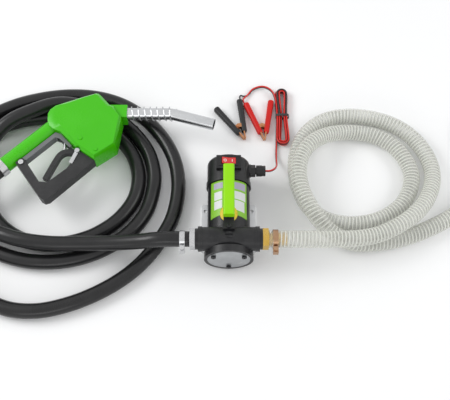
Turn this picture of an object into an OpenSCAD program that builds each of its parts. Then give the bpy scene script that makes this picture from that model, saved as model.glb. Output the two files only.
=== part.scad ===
/* [Pump head] */
// Height of the motor and rotor axis above the floor
axis_h = 48; // [47:0.5:52]
// Distance from the hole pattern's centre forward to the head's front rim
head_reach = 78; // [77:0.5:80]
// Diameter of the round front flange
flange_d = 84; // [82:0.5:88]
// Thickness of the front flange
flange_t = 12; // [11:0.5:14]
// Diameter of the housing behind the flange
housing_d = 68; // [66:0.5:72]
// Length of the head from its front rim to the motor
head_len = 48; // [47.5:0.5:50]
// Diameter of the barrel that joins both ports
barrel_d = 41; // [39:0.5:42]
// Length of the barrel over both collars
barrel_len = 104; // [100:1:112]
// Height of the barrel's axis above the floor
barrel_h = 70; // [69.5:0.5:72]
// Distance from the front rim back to the barrel's axis
barrel_back = 29; // [28.5:0.5:30]
// Diameter of the collar at each end of the barrel
collar_d = 43; // [42:0.5:46]
// Diameter of the narrow neck outside each collar
neck_d = 36; // [34:0.5:40]
// Diameter of each port's threaded bore
port_bore_d = 30; // [28:0.5:30.5]
// Diameter of the round cover plate
cover_d = 73; // [71:0.5:75]
// Thickness of the cover plate
cover_t = 4; // [3.5:0.5:5]
// Thickness of the cover gasket
gasket_t = 0.5; // [0.5:0.1:0.8]
// Diameter of the circle of cover screws
cover_screw_circle_d = 60; // [59:0.5:61]

/* [Vane pump] */
// Bore of the rotor chamber
chamber_d = 50; // [49:0.5:51]
// Depth of the rotor chamber
chamber_depth = 15.5; // [15:0.1:16]
// Offset of the chamber above the rotor axis
chamber_offset = 3; // [2.5:0.1:3]
// Diameter of the rotor
rotor_d = 43; // [41:0.5:43]
// Thickness of each vane
vane_t = 4; // [3:0.1:5]
// Depth of each vane
vane_depth = 11; // [9:0.5:12]

/* [Motor] */
// Outer diameter of the motor can
can_d = 74; // [72:0.5:76]
// Length of the motor can behind the head
can_len = 92; // [90:1:96]
// Wall of the motor can
can_wall = 2.5; // [2:0.1:3]
// Diameter of the motor shaft
shaft_d = 8; // [7:0.5:8]
// Diameter of the armature
armature_d = 55; // [52:0.5:56]
// Diameter of the end cap's front rim
cap_rim_d = 79; // [78:0.5:82]
// Diameter of the end cap
cap_d = 76; // [75:0.5:78]
// Length of the end cap
cap_len = 53; // [51:0.5:56]

/* [Switch and gland] */
// Width of the raised switch panel
panel_w = 43; // [40:0.5:46]
// Depth of the raised switch panel
panel_l = 26; // [24:0.5:27]
// Width of the switch rocker
rocker_w = 25; // [22:0.5:28]
// Depth of the switch rocker
rocker_l = 12; // [10:0.5:13]
// Diameter of the cable gland's nut
gland_d = 19; // [17:0.5:21]
// Length of the cable gland outside the cap
gland_len = 26; // [24:0.5:27]

/* [Base and handle] */
// Width of the base plate
plate_w = 98; // [96:1:110]
// Length of the base plate
plate_l = 94; // [90:1:100]
// Thickness of the base plate
plate_t = 3; // [2.5:0.5:4]
// Hole spacing across the base plate
hole_spacing_x = 84; // [80:0.5:84]
// Hole spacing along the base plate
hole_spacing_y = 68; // [64:0.5:70]
// Diameter of the four mounting holes
mount_hole_d = 6.5; // [5:0.5:8]
// Height of the handle's top above the floor
handle_top = 120; // [114:0.5:126]
// Length of the handle's grip
grip_len = 94; // [88:0.5:96]
// Width of the handle's grip
grip_w = 19; // [16:0.5:21]
// Thickness of the handle's grip
grip_t = 13; // [11:0.5:15]

/* [Hoses] */
// Outer diameter of the black delivery hose
delivery_od = 26.5; // [24:0.5:26.5]
// Bore of the black delivery hose, across its corners
delivery_id = 21.2; // [21:0.2:22]
// Outer diameter of the clear suction hose over its ribs
suction_od = 30; // [28:0.5:30]
// Outer diameter of the clear suction hose between its ribs
suction_groove_d = 28.4; // [28:0.2:28.8]
// Bore of the clear suction hose, across its corners
suction_id = 25.8; // [25.6:0.1:26]
// Distance from rib to rib along the suction hose
rib_pitch = 15.5; // [15.5:0.5:20]
// Width of the twin lead
lead_w = 6.2; // [5:0.2:6.4]
// Thickness of the twin lead
lead_t = 3.2; // [2.6:0.1:3.2]

/* [Battery clips] */
// Length of each clip from jaw tip to handle end
clip_len = 88; // [80:1:90]
// Distance from the jaw tip to the clip's pivot
clip_pivot = 30; // [28:0.5:34]
// Height of each clip's sleeve
clip_h = 13; // [12:0.5:13.5]
// Width of each clip's sleeve
clip_sleeve_w = 11; // [10:0.5:11]
// Angle of each clip arm from the clip's centre line
clip_half_angle = 14.5; // [14:0.5:15]

/* [Nozzle] */
// Driving length of the nozzle's body outline
nozzle_size = 150; // [148:0.5:152]
// Thickness of the nozzle's cover
nozzle_t = 44; // [43:0.5:46]
// Outer diameter of the nozzle's handle sleeve
nozzle_grip_d = 29; // [28:0.5:31]
// Outer diameter of the spout
spout_d = 21.5; // [20:0.5:22]
// Bore of the spout
spout_bore = 18; // [16:0.5:19]
// Length of the spout's straight root
spout_root = 72; // [66:1:80]
// Length of the spout beyond its bend
spout_tip = 74; // [60:1:80]
// Turn of the spout's end
spout_turn = 16.5; // [10:0.5:22]
// Thickness of the guard
guard_t = 20; // [18:0.5:24]
// Width of the trigger lever's bar
lever_w = 10; // [8:0.5:10]
// Thickness of the trigger lever
lever_t = 11; // [9:0.5:12]

/* [Hidden] */
$fn = 48;

// Overrun of every cut past the face it opens
cut = 1;
// Gap at which loose round pieces sit beside each other
seat = 0.3;
// Radial clearance of a running fit
run_fit = 0.05;
// Number of sides of a hexagon
hex_sides = 6;

// Stations along the pump, front to back
rim_y = -head_reach;
can_y = rim_y + head_len;
can_end_y = can_y + can_len;
barrel_y = rim_y + barrel_back;

// Pump head details
recess_gap = 0.3;
recess_depth = cover_t + gasket_t;
recess_d = cover_d + 2 * recess_gap;
chamber_y = rim_y + recess_depth;
mount_flange_t = 6;
mount_flange_y = can_y - mount_flange_t;
spigot_gap = 0.3;
spigot_len = 4;
spigot_d = can_d - 2 * can_wall - 2 * spigot_gap;
collar_w = 7;
neck_len = 5;
port_face_x = barrel_len / 2 + neck_len;
port_wall_half = 16;
seal_d = 18;
seal_len = 4.5;
seal_bore_gap = 0.1;
bearing_d = 22;
bearing_len = 7;
bearing_y = mount_flange_y - bearing_len;
seal_y = bearing_y - seal_len - seat;
shaft_hole_gap = 0.5;
foot_w = 40;
foot_ear_w = 70;
foot_ear_t = 6;
foot_h = 20;
foot_y = rim_y + 20;
foot_l = 22;
toe_boss_w = 20;
toe_boss_l = 10;
toe_boss_y = mount_flange_y - 5;
toe_h = barrel_h + barrel_d / 2 + 1.5;
cover_screw_d = 4;
cover_screw_head_d = 8.5;
cover_screw_head_t = 3.4;
cover_screw_len = 12;
screw_fit = 0.1;
screw_socket_d = 3.6;
bolt_d = 4;
bolt_circle_r = 31.2;
bolt_turn = 20;
bolt_depth = 12;
bolt_head_d = 7;
bolt_head_t = 3;

// Bypass valve details
bypass_d = 13;
bypass_floor_h = barrel_h - 3;
bypass_feed_d = 6;
bypass_feed_depth = 6;
bypass_cross_d = 4;
bypass_cross_h = barrel_h + 5;
poppet_t = 3;
poppet_stem_d = 4.4;
poppet_stem_len = 6;
plug_t = 6.5;
plug_slot_w = 2;
plug_slot_depth = 2;
bypass_wire_d = 1.2;
bypass_spring_d = 10;

// Rotor details
rotor_side_gap = 0.3;
rotor_len = chamber_depth - 2 * rotor_side_gap;
vane_count = 5;
vane_gap = 0.1;
vane_inset = 0.3;

// Motor details
magnet_gap = 0.3;
magnet_t = 5.5;
magnet_y = can_y + 22;
magnet_len = 54;
magnet_half_angle = 62;
armature_y = can_y + 20;
armature_len = 46;
winding_d = 44;
winding_len = 8;
winding_gap = 0.2;
armature_slots = 12;
slot_w = 3;
slot_depth = 9;
commutator_d = 22;
commutator_y = armature_y + armature_len + winding_len;
commutator_len = 11;
shield_t = 6;
shield_y = can_end_y - 6;
shield_boss_d = 29;
shield_boss_len = 3;
shield_lip_t = 2;
shaft_front_y = rim_y + 6;
shaft_rear_y = shield_y + shield_t + shield_boss_len - 1;
rear_bearing_y = shield_y + 1;
brush_w = 6;
brush_len = 10.5;
brush_gap = 0.3;
holder_wall = 1;
holder_end_x = 33;
holder_plate_t = 2.5;
holder_plate_d = spigot_d - 0.2;
holder_bore_d = 28;
brush_y = commutator_y + 2;
brush_wire_d = 0.9;

// End cap details
cap_rim_len = 9;
cap_start_y = can_end_y - 5;
cap_wall = 2.6;
cap_edge_r = 9;
cap_edge_steps = 6;
panel_y = cap_start_y + 20;
panel_top = axis_h + cap_d / 2 + 3;
panel_depth = 12;
switch_flange_t = 1.2;
switch_flange_margin = 2.5;
switch_body_depth = 14;
switch_wall = 1.1;
switch_y = panel_y + panel_l / 2 + 1.5;
rocker_gap = 0.4;
switch_w = rocker_w + 2 * rocker_gap + 2 * switch_wall;
switch_l = rocker_l + 2 * rocker_gap + 2 * switch_wall;
rocker_pivot_h = panel_top - 0.8;
rocker_pin_len = rocker_l + 2 * rocker_gap + switch_wall;
rocker_tilt = 7;
rocker_h = 5;
rocker_pin_d = 2;
gland_y = cap_start_y + 36;
gland_boss_d = 24;
gland_face_x = cap_d / 2 + 2;
gland_boss_thread = 6;
gland_hex_d = 22;
gland_stub_d = 13;
gland_thread_d = 15;
gland_hex_w = 8;
gland_bore_d = 7;
gland_nut_gap = 1.5;
gland_rib_count = 10;
gland_rib_d = 1.4;
grip_socket_depth = 2.5;
pad_w = 19;
pad_l = 15;
pad_top = axis_h + cap_rim_d / 2 + 2;

// Base and handle details
saddle_w = 48;
saddle_l = 24;
saddle_y = 20;
saddle_h = 18;
saddle_ear_w = 72;
screw_d = 5;
screw_head_d = 8.5;
screw_head_t = 3.5;
screw_len = 8.6;
saddle_screw_x = 30;
foot_screw_x = 29;
leg_t = 8;
leg_y = mount_flange_y + 14;
core_t = 6;
core_w = 12;
core_gap = 0.2;
heel_y = can_end_y - 2;
toe_w = 18;
toe_t = 4;
plate_corner_r = 4;

// Port fittings
thread_gap = 0.1;
tail_thread_len = 26;
outlet_hex_d = 38;
outlet_hex_len = 9;
outlet_barb_d = 18.4;
outlet_bore_d = 13;
inlet_hex_d = 37;
inlet_hex_len = 10;
inlet_barb_d = 22.6;
inlet_bore_d = 19;
barb_len = 31;
barb_count = 3;
barb_rise = 0.35;
clamp_w = 9;
clamp_t = 0.9;
clamp_gap = 0.3;
clamp_x = port_face_x + 17;
clamp_lug_l = 10;
clamp_lug_h = 12;
clamp_screw_d = 7;
clamp_screw_h = 20;

// Route of the delivery hose from the outlet, along its centre, in hand-chosen places
delivery_points = [
  [-66.5, -49, 70], [-83, -49, 70], [-100, -49, 70], [-125, -48.7, 66.5], [-155, -48, 57],
  [-200, -47, 48], [-255, -46, 43], [-310, -45, 42], [-360, -38, 42], [-405, -22, 38],
  [-450, 4, 24], [-479, 47, 15], [-489, 96, 14], [-484, 145, 14], [-458, 188, 14],
  [-413, 215, 14], [-362, 226, 14], [-310, 225, 14], [-258, 212, 14], [-214, 187, 14],
  [-183, 151, 14], [-167, 108, 14], [-168, 65, 14], [-183, 31, 14], [-210, 1, 14],
  [-250, -23, 14], [-300, -35, 14], [-354, -30, 14], [-399, -6, 14], [-432, 32, 14],
  [-454, 76, 14], [-457, 122, 17], [-443, 164, 29], [-412, 201, 40], [-368, 226, 42],
  [-324, 245, 36], [-280, 246, 27], [-232, 234, 18], [-188, 202, 14], [-153, 156, 14],
  [-138, 110, 14], [-138, 68, 14], [-150, 24, 14], [-178, -15, 14], [-219, -44, 14],
  [-264, -62, 14], [-312, -69, 14], [-362, -65, 14], [-411, -49, 14], [-461, -23, 14],
  [-502, 19, 14], [-521, 73, 14], [-521, 127, 14], [-501, 179, 14], [-464, 223, 14],
  [-415, 253, 14], [-362, 270, 14], [-308, 277, 14], [-255, 273, 14], [-205, 256, 14],
  [-160, 224, 14], [-122, 178, 14], [-99, 128, 14], [-92, 75, 14], [-99, 22, 14],
  [-116, -18, 14], [-140, -56, 14], [-172, -90, 14], [-215, -120, 14], [-268, -144, 14],
  [-325, -157, 14], [-380, -152, 14], [-428, -127, 14], [-462, -91, 18], [-479, -59, 27],
  [-485, -27, 39], [-482, 5, 49], [-472, 29, 55], [-458, 44, 56], [-441, 61, 56],
  [-424, 78, 56]
];
delivery_straight = 17;
delivery_step = 50;
delivery_sides = 8;
delivery_run_rings = 9;
delivery_end_rings = 2;

// Route of the suction hose from the inlet, along its centre, in hand-chosen places
suction_points = [
  [67.5, -49, 70], [84, -49, 70], [100.5, -49, 70], [122, -48.6, 68.5], [150, -47, 64.5],
  [185, -44, 58.5], [222, -40, 52], [258, -31, 47], [292, -15, 46], [324, 8, 42],
  [351, 39, 34], [370, 78, 24], [375, 117, 17], [364, 155, 16], [342, 187, 16],
  [310, 211, 16], [270, 225, 16], [228, 229, 16], [190, 222, 16], [158, 202, 16],
  [136, 172, 16], [126, 136, 16], [125, 99, 16], [132, 64, 16], [147, 34, 16],
  [173, 12, 16], [209, 3, 16], [246, 5, 16], [281, 17, 16], [311, 39, 16], [330, 69, 16],
  [337, 103, 16], [328, 136, 16], [309, 164, 16], [279, 184, 16], [244, 192, 16],
  [210, 189, 22], [176, 174, 34], [148, 149, 46], [131, 120, 48], [126, 88, 48],
  [130, 56, 48], [141, 27, 48], [159, -2, 43], [185, -23, 31], [218, -34, 18],
  [255, -34, 16], [290, -29, 16], [325, -19, 16], [360, -4, 16], [396, 15, 16],
  [430, 39, 16], [454, 68, 16], [466, 95, 16], [470, 117, 16], [470, 134, 16], [470, 150, 16]
];
suction_sides = 8;
suction_run_ribs = 21;
bore_every = 3;

// Route of the lead from the gland to the hank
lead_points = [
  [58, 93, 48], [66, 93, 48], [73, 93.5, 47], [80, 98, 43], [86, 108, 33], [89, 122, 19],
  [89.5, 138, 8.5], [90, 154, 4.2], [91, 172, 3.6], [91.6, 188, 3.6], [92.5, 206, 3.6],
  [93.3, 220, 3.6], [93.8, 234.5, 3.6]
];
// Route of the lead from the hank to the split, and of each tail into its clip
arc_points = [
  [93.8, 234.5, 10.5], [93.3, 249, 10.5], [92.5, 263, 10.5], [91, 275, 10.4], [87, 288, 10],
  [79, 298, 9], [68, 303.5, 7], [57, 303, 5], [47, 298, 4], [41, 290, 3.6]
];
red_tail_points = [
  [41, 290, 5.2], [37, 284.7, 5.4], [32, 279, 6], [29, 274, 6.8], [29.5, 269.2, 6.8],
  [33, 260.2, 6.8]
];
black_tail_points = [
  [41, 290, 2], [36, 286, 2.1], [30, 284, 3], [24.5, 284, 5.5], [22.3, 279.5, 6.8],
  [22.9, 276, 6.8], [24.1, 269, 6.8]
];
tail_d = 3;
cord_sides = 6;

// Hank of the lead
hank_x = 104;
hank_y = 234.5;
hank_len = 130;
hank_w = 28;
hank_step = 4.1;
hank_layer = 6.9;
hank_loops = 4;
hank_low = 3.6;
hank_waist = 2.2;
loop_rings = 24;

// Battery clip details
clip_steel_t = 2.5;
clip_steel_h = 9;
clip_sleeve_start = 14;
clip_sleeve_gap = 0.2;
clip_mid_h = clip_h / 2 + 0.3;
ear_t = 1.2;
ear_len = 8.2;
ear_gap = 0.3;
clip_pin_d = 3;
ear_r = 4.1;
ear_outer = 3.3;
ear_inner = 1.8;
sleeve_in = 3;
wire_socket_y = 5.2;
wire_socket_depth = 6;
clip_pin_head_d = 5.5;
clip_pin_head_t = 0.8;
clip_spring_d = 7.6;
clip_wire_d = 1.2;
black_clip_x = 31;
black_clip_y = 185;
black_clip_turn = 22.7;
red_clip_x = 68.5;
red_clip_y = 183.5;
red_clip_turn = 6.8;

// Suction strainer
strainer_x = 470;
strainer_y = 150.4;
strainer_h = 16;
strainer_d = 31;
strainer_len = 60;
strainer_wall = 2.5;
strainer_neck_len = 8;
strainer_slots = 8;
strainer_slot_w = 3;
strainer_slot_len = 36;
strainer_barb_len = 24;

// Nozzle placement and outline, as shares of the nozzle's driving length
nozzle_x = -187;
nozzle_y = 209;
nozzle_h = 56;
body_shares = [
  [-0.060, -0.120], [-0.160, 0.040], [-0.220, 0.067], [-0.333, 0.200], [-0.360, 0.225],
  [-0.395, 0.232], [-0.547, 0.180], [-0.787, 0.087], [-0.875, 0.053], [-0.935, 0.000],
  [-0.960, -0.060], [-0.955, -0.160], [-0.925, -0.230], [-0.873, -0.280], [-0.787, -0.313],
  [-0.580, -0.527], [-0.347, -0.693], [-0.107, -0.513]
];
face_shares = [
  [-0.087, -0.115], [-0.180, 0.012], [-0.238, 0.030], [-0.353, 0.163], [-0.372, 0.186],
  [-0.398, 0.195], [-0.537, 0.143], [-0.747, 0.055], [-0.800, 0.030], [-0.840, -0.005],
  [-0.855, -0.050], [-0.848, -0.130], [-0.815, -0.210], [-0.780, -0.255], [-0.747, -0.290],
  [-0.562, -0.500], [-0.347, -0.660], [-0.130, -0.495]
];
edge_h = 6;
cover_wall = 4;
cover_gap = 0.3;
snout_len = 32;
snout_w = 28;
snout_h = 26;
snout_y = -2;
snout_boss_d = 25;

// Nozzle handle axis, from its root towards the hose
handle_turn = 45;
handle_root_x = -130;
handle_root_y = -24;
handle_len = 120;
handle_casting_d = 24;
flow_bore_d = 13;
handle_overlap = 20;
collar_len = 13;
collar_outer_d = 34;
collar_gap = 0.3;
tail_nut_d = 30;
tail_nut_len = 17.5;
nozzle_barb_len = 24;
nozzle_thread_d = 18;
nozzle_thread_len = 20;
nozzle_barb_d = 18;
tail_bore_d = 11;

// Main valve of the nozzle, on a line along Y
stem_x = -110;
stem_d = 6;
stem_low_y = -78.3;
seat_y = -26;
lower_chamber_d = 13;
lower_chamber_y = -44;
upper_chamber_d = 21;
disc_d = 18;
disc_t = 4;
disc_lift_gap = 0.3;
valve_cap_y = 1;
valve_cap_t = 6;
valve_cap_gap = 0.05;
valve_spring_d = 15;
valve_wire_d = 1.6;
valve_travel = 8.9;
passage_d = 10;
passage_turn = 19;
passage_len = 112;

// Spout
spout_depth = 20;
spout_bend_r = 60;
bend_lap = 1;
bend_trim = 0.2;
socket_gap = 0.05;
spout_wire_d = 2;
spout_coils = 7;
spout_coil_gap = 0.3;
spout_coil_start = 6;
spout_coil_pitch = 11.6;

// Guard, rail, lever and hold-open clip, as shares of the nozzle's driving length
guard_outer_shares = [
  [-1.2227, -0.658], [-1.2867, -0.722], [-0.945, -1.190], [-0.900, -1.215], [-0.850, -1.200],
  [-0.348, -0.6967], [-0.582, -0.5297], [-0.568, -0.620], [-0.668, -0.797], [-0.880, -0.985],
  [-0.980, -0.975], [-1.145, -0.735], [-1.176, -0.6913]
];
rail_shares = [
  [-0.640, -0.483], [-0.7887, -0.3167], [-0.856, -0.2947], [-1.2185, -0.6535],
  [-1.172, -0.6867], [-0.850, -0.365], [-0.797, -0.383], [-0.661, -0.508]
];
lever_shares = [
  [-0.5633, -0.5667], [-0.653, -0.553], [-0.733, -0.563], [-0.787, -0.610], [-0.825, -0.690],
  [-0.875, -0.810], [-0.922, -0.930]
];
lever_pocket_shares = [
  [-0.640, -0.440], [-0.500, -0.500], [-0.492, -0.600], [-0.560, -0.650], [-0.900, -0.900],
  [-0.900, -0.500]
];
lever_smooth = 3;
pivot_x = -84.5;
pivot_y = -85;
pivot_boss_d = 15;
pivot_pin_d = 5;
pivot_head_d = 9;
pivot_head_t = 2;
guard_side_gap = 0.4;
hold_clip_t = 1.5;
hold_clip_w = 7;
hold_clip_len = 27;
hold_clip_turn = -112;
guard_screw_x = -183;
guard_screw_y = -108;
guard_screw_d = 5;
lever_slot_len = 30;
cover_screw_places = [[-79, -65], [-50, -88]];
small_screw_d = 4;
small_screw_len = 10;
small_screw_head_d = 7;
small_screw_head_t = 1.6;
guard_screw_head_d = 9.5;
guard_screw_head_t = 2.5;
rail_t = 16;

module along_y(y, x = 0, z = axis_h) {
  translate([x, y, z]) rotate([-90, 0, 0]) children();
}

module along_x(x, y, z) {
  translate([x, y, z]) rotate([0, 90, 0]) children();
}

module block(x0, x1, y0, y1, z0, z1) {
  translate([x0, y0, z0]) cube([x1 - x0, y1 - y0, z1 - z0]);
}

module ring(outer, inner, len) {
  difference() {
    cylinder(d = outer, h = len);
    translate([0, 0, -cut]) cylinder(d = inner, h = len + 2 * cut);
  }
}

function unit(v) = v / norm(v);
function knot(p, i) =
  i < 0 ? 2 * p[0] - p[1] : i >= len(p) ? 2 * p[len(p) - 1] - p[len(p) - 2] : p[i];
function spline(a, b, c, d, t) =
  0.5 * (2 * b + (c - a) * t + (2 * a - 5 * b + 4 * c - d) * t * t
    + (3 * b - a - 3 * c + d) * t * t * t);
// A smooth curve through the points, with a number of steps from one point to the next
function smooth(p, steps) = [
  for (k = [0 : steps * (len(p) - 1)])
    let (i = min(floor(k / steps), len(p) - 2), t = k / steps - i)
      spline(knot(p, i - 1), p[i], p[i + 1], knot(p, i + 2), t)
];
function travelled(p, i = 0, sum = 0, out = []) =
  i >= len(p) ? out
    : let (s = i == 0 ? 0 : sum + norm(p[i] - p[i - 1]))
      travelled(p, i + 1, s, concat(out, [s]));
// The same curve cut into equal steps
function even(p, count) =
  let (s = travelled(p), total = s[len(s) - 1])
    let (xs = [for (i = [0 : len(p) - 1]) [s[i], p[i][0]]],
      ys = [for (i = [0 : len(p) - 1]) [s[i], p[i][1]]],
      zs = [for (i = [0 : len(p) - 1]) [s[i], p[i][2]]])
      [for (k = [0 : count])
        let (t = total * k / count) [lookup(t, xs), lookup(t, ys), lookup(t, zs)]];
// The places of a curve at given distances along it
function along(p, stations) =
  let (s = travelled(p), n = len(p) - 1)
    let (xs = [for (i = [0 : n]) [s[i], p[i][0]]], ys = [for (i = [0 : n]) [s[i], p[i][1]]],
      zs = [for (i = [0 : n]) [s[i], p[i][2]]])
      [for (t = stations) [lookup(t, xs), lookup(t, ys), lookup(t, zs)]];
function path_len(p) = let (s = travelled(p)) s[len(s) - 1];
function heading(p, i) = unit(p[min(i + 1, len(p) - 1)] - p[max(i - 1, 0)]);
function across(t) = unit(cross(t, [0, 0, 1]));
// One ring of points round the path, wide along its side and tall along its up
function hoop(p, i, wide, tall, sides) =
  let (t = heading(p, i), s = across(t), u = cross(s, t))
    [for (j = [0 : sides - 1])
      let (a = 360 * (j + 0.5) / sides) p[i] + wide * cos(a) * s + tall * sin(a) * u];
function skin(rings, sides, first, flip) = [
  for (i = [0 : rings - 2]) for (j = [0 : sides - 1])
    let (a = first + i * sides + j, b = first + i * sides + (j + 1) % sides,
      c = a + sides, d = b + sides)
      each flip ? [[a, b, c], [b, d, c]] : [[a, c, b], [b, c, d]]
];
function lid(sides, first, flip) = [
  for (j = [1 : sides - 2])
    flip ? [first, first + j + 1, first + j] : [first, first + j, first + j + 1]
];
function annulus(sides, outer, inner, flip) = [
  for (j = [0 : sides - 1])
    let (a = outer + j, b = outer + (j + 1) % sides,
      c = inner + j, d = inner + (j + 1) % sides)
      each flip ? [[a, b, c], [b, d, c]] : [[a, c, b], [b, c, d]]
];

// A solid rod swept along the places from first to last
module rod(p, wide, tall, sides, first, last) {
  rings = last - first + 1;
  polyhedron(
    points = [for (i = [first : last]) each hoop(p, i, wide, tall, sides)],
    faces = concat(skin(rings, sides, 0, true), lid(sides, 0, true),
      lid(sides, (rings - 1) * sides, false)));
}

// A tube whose outer radius follows a list, with a plain bore
module pipe(p, radii, bore, every, sides, first, last) {
  rings = last - first + 1;
  inner = [for (i = [first : last]) if ((i - first) % every == 0 && i + every <= last || i == last) i];
  start = rings * sides;
  polyhedron(
    points = concat(
      [for (i = [first : last]) each hoop(p, i, radii[i], radii[i], sides)],
      [for (i = inner) each hoop(p, i, bore, bore, sides)]),
    faces = concat(
      skin(rings, sides, 0, true),
      skin(len(inner), sides, start, false),
      annulus(sides, 0, start, false),
      annulus(sides, (rings - 1) * sides, start + (len(inner) - 1) * sides, true)));
}

// A rod from first to last whose far end is bored back to the place named bottom
module blind_pipe(p, wide, bore, sides, first, bottom, last) {
  rings = last - first + 1;
  inner = last - bottom + 1;
  start = rings * sides;
  polyhedron(
    points = concat(
      [for (i = [first : last]) each hoop(p, i, wide, wide, sides)],
      [for (i = [bottom : last]) each hoop(p, i, bore, bore, sides)]),
    faces = concat(
      skin(rings, sides, 0, true),
      lid(sides, 0, true),
      skin(inner, sides, start, false),
      lid(sides, start, false),
      annulus(sides, (rings - 1) * sides, start + (inner - 1) * sides, true)));
}

function least_gap(p, width, apart) =
  let (s = travelled(p))
    min([for (i = [0 : len(p) - 1]) for (j = [i + 1 : len(p) - 1])
      if (s[j] - s[i] > apart) norm(p[i] - p[j])]) - width;

// Flat outline: every corner moved outward by a distance, for corners listed clockwise
function outward(p, grow) = [
  for (i = [0 : len(p) - 1])
    let (a = p[(i + len(p) - 1) % len(p)], b = p[i], c = p[(i + 1) % len(p)],
      e = unit(b - a), f = unit(c - b), m = [-e[1], e[0]], n = [-f[1], f[0]])
      b - grow * (m + n) / (1 + m * n)
];
// Flat band of a given width along a path
function band(p, width) = let (n = len(p)) concat(
  [for (i = [0 : n - 1]) let (t = flat_heading(p, i)) p[i] + width / 2 * [-t[1], t[0]]],
  [for (i = [n - 1 : -1 : 0]) let (t = flat_heading(p, i)) p[i] - width / 2 * [-t[1], t[0]]]);
function flat_heading(p, i) = unit(p[min(i + 1, len(p) - 1)] - p[max(i - 1, 0)]);

// Paths worked out from the routes
delivery_smooth = smooth(delivery_points, 4);
delivery_len = path_len(delivery_smooth);
delivery_steps = round((delivery_len - 4 * delivery_straight) / delivery_step);
delivery_path = along(delivery_smooth, concat([0, delivery_straight],
  [for (k = [0 : delivery_steps])
    2 * delivery_straight + (delivery_len - 4 * delivery_straight) * k / delivery_steps],
  [delivery_len - delivery_straight, delivery_len]));
delivery_radii = [for (i = [0 : len(delivery_path) - 1]) delivery_od / 2];
suction_smooth = smooth(suction_points, 4);
suction_ribs = floor(path_len(suction_smooth) / rib_pitch);
suction_path = even(suction_smooth, 2 * suction_ribs);
suction_radii = [
  for (i = [0 : 2 * suction_ribs]) (i % 2 == 1 ? suction_od : suction_groove_d) / 2
];

// The hank: a long loop with round ends that steps in for two turns and out again
function hank_turn(u) = u < 2 ? u : 4 - u;
function ease(t) = t <= 0 ? 0 : t >= 1 ? 1 : t * t * (3 - 2 * t);
function hank_place(u) =
  let (f = u - floor(u), inset = hank_step * hank_turn(u),
    w = hank_w / 2 - lead_t / 2 - inset, l = hank_len / 2 - lead_t / 2 - inset - w,
    z = hank_low + hank_layer * ease((u - 1.88) / 0.24),
    y = f < 0.125 ? l * f / 0.125
      : f < 0.375 ? l
      : f < 0.625 ? l * (0.5 - f) / 0.125
      : f < 0.875 ? -l
      : l * (f - 1) / 0.125,
    a = f < 0.375 ? 180 - 180 * (f - 0.125) / 0.25 : -180 * (f - 0.625) / 0.25,
    turn = f < 0.125 || f >= 0.875 ? [-w, 0]
      : f < 0.375 ? w * [cos(a), sin(a)]
      : f < 0.625 ? [w, 0]
      : w * [cos(a), sin(a)],
    draw = hank_waist * (1 + cos(180 * y / l)) / 2 * (turn[1] == 0 ? 1 : 0))
    [hank_x + turn[0] - sign(turn[0]) * draw, hank_y + y + turn[1], z];
hank_path = [for (k = [0 : hank_loops * loop_rings]) hank_place(k / loop_rings)];

module pump_body() {
  color("black") difference() {
    union() {
      along_y(rim_y) cylinder(d = flange_d, h = flange_t);
      along_y(rim_y + flange_t) cylinder(d = housing_d, h = head_len - flange_t);
      along_y(mount_flange_y) cylinder(d = can_d, h = mount_flange_t);
      along_y(can_y) cylinder(d = spigot_d, h = spigot_len);
      along_x(-barrel_len / 2, barrel_y, barrel_h) cylinder(d = barrel_d, h = barrel_len);
      for (side = [-1, 1]) {
        along_x(side * (barrel_len - collar_w) / 2 - collar_w / 2, barrel_y, barrel_h)
          cylinder(d = collar_d, h = collar_w);
        along_x(side * (port_face_x - neck_len / 2) - neck_len / 2, barrel_y, barrel_h)
          cylinder(d = neck_d, h = neck_len);
      }
      block(-foot_w / 2, foot_w / 2, foot_y, foot_y + foot_l, plate_t, plate_t + foot_h);
      block(-foot_ear_w / 2, foot_ear_w / 2, foot_y, foot_y + foot_l, plate_t,
        plate_t + foot_ear_t);
      block(-toe_boss_w / 2, toe_boss_w / 2, toe_boss_y, toe_boss_y + toe_boss_l,
        barrel_h, toe_h);
    }
    along_y(can_y) ring(can_d + 2 * seat, spigot_d + 0.2, spigot_len);
    along_y(rim_y - cut) cylinder(d = recess_d, h = recess_depth + cut);
    along_y(chamber_y - cut, 0, axis_h + chamber_offset)
      cylinder(d = chamber_d, h = chamber_depth + cut);
    along_y(rim_y) cylinder(d = shaft_d + 2 * shaft_hole_gap, h = head_len);
    along_y(seal_y) cylinder(d = seal_d, h = seal_len + seat + cut);
    along_y(bearing_y) cylinder(d = bearing_d, h = head_len);
    for (side = [-1, 1])
      along_x(side > 0 ? port_wall_half : -port_face_x - cut, barrel_y, barrel_h)
        cylinder(d = port_bore_d, h = port_face_x - port_wall_half + cut);
    bypass_bores();
    for (k = [0 : 2])
      at_cover_screw(k) translate([0, 0, -cut])
        cylinder(d = cover_screw_d + 2 * screw_fit, h = cover_screw_len + 2 * cut);
    for (side = [-1, 1]) {
      at_bolt(side, can_y + spigot_len - bolt_depth)
        cylinder(d = bolt_d + 2 * screw_fit, h = bolt_depth + cut);
      translate([side * foot_screw_x, foot_screw_y, -cut])
        cylinder(d = screw_d + 2 * screw_fit, h = foot_h);
    }
    translate([0, toe_screw_y, toe_h - screw_len])
      cylinder(d = screw_d + 2 * screw_fit, h = screw_len + cut);
  }
}

foot_screw_y = foot_y + foot_l / 2;
toe_screw_y = toe_boss_y + toe_boss_l / 2;

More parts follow.
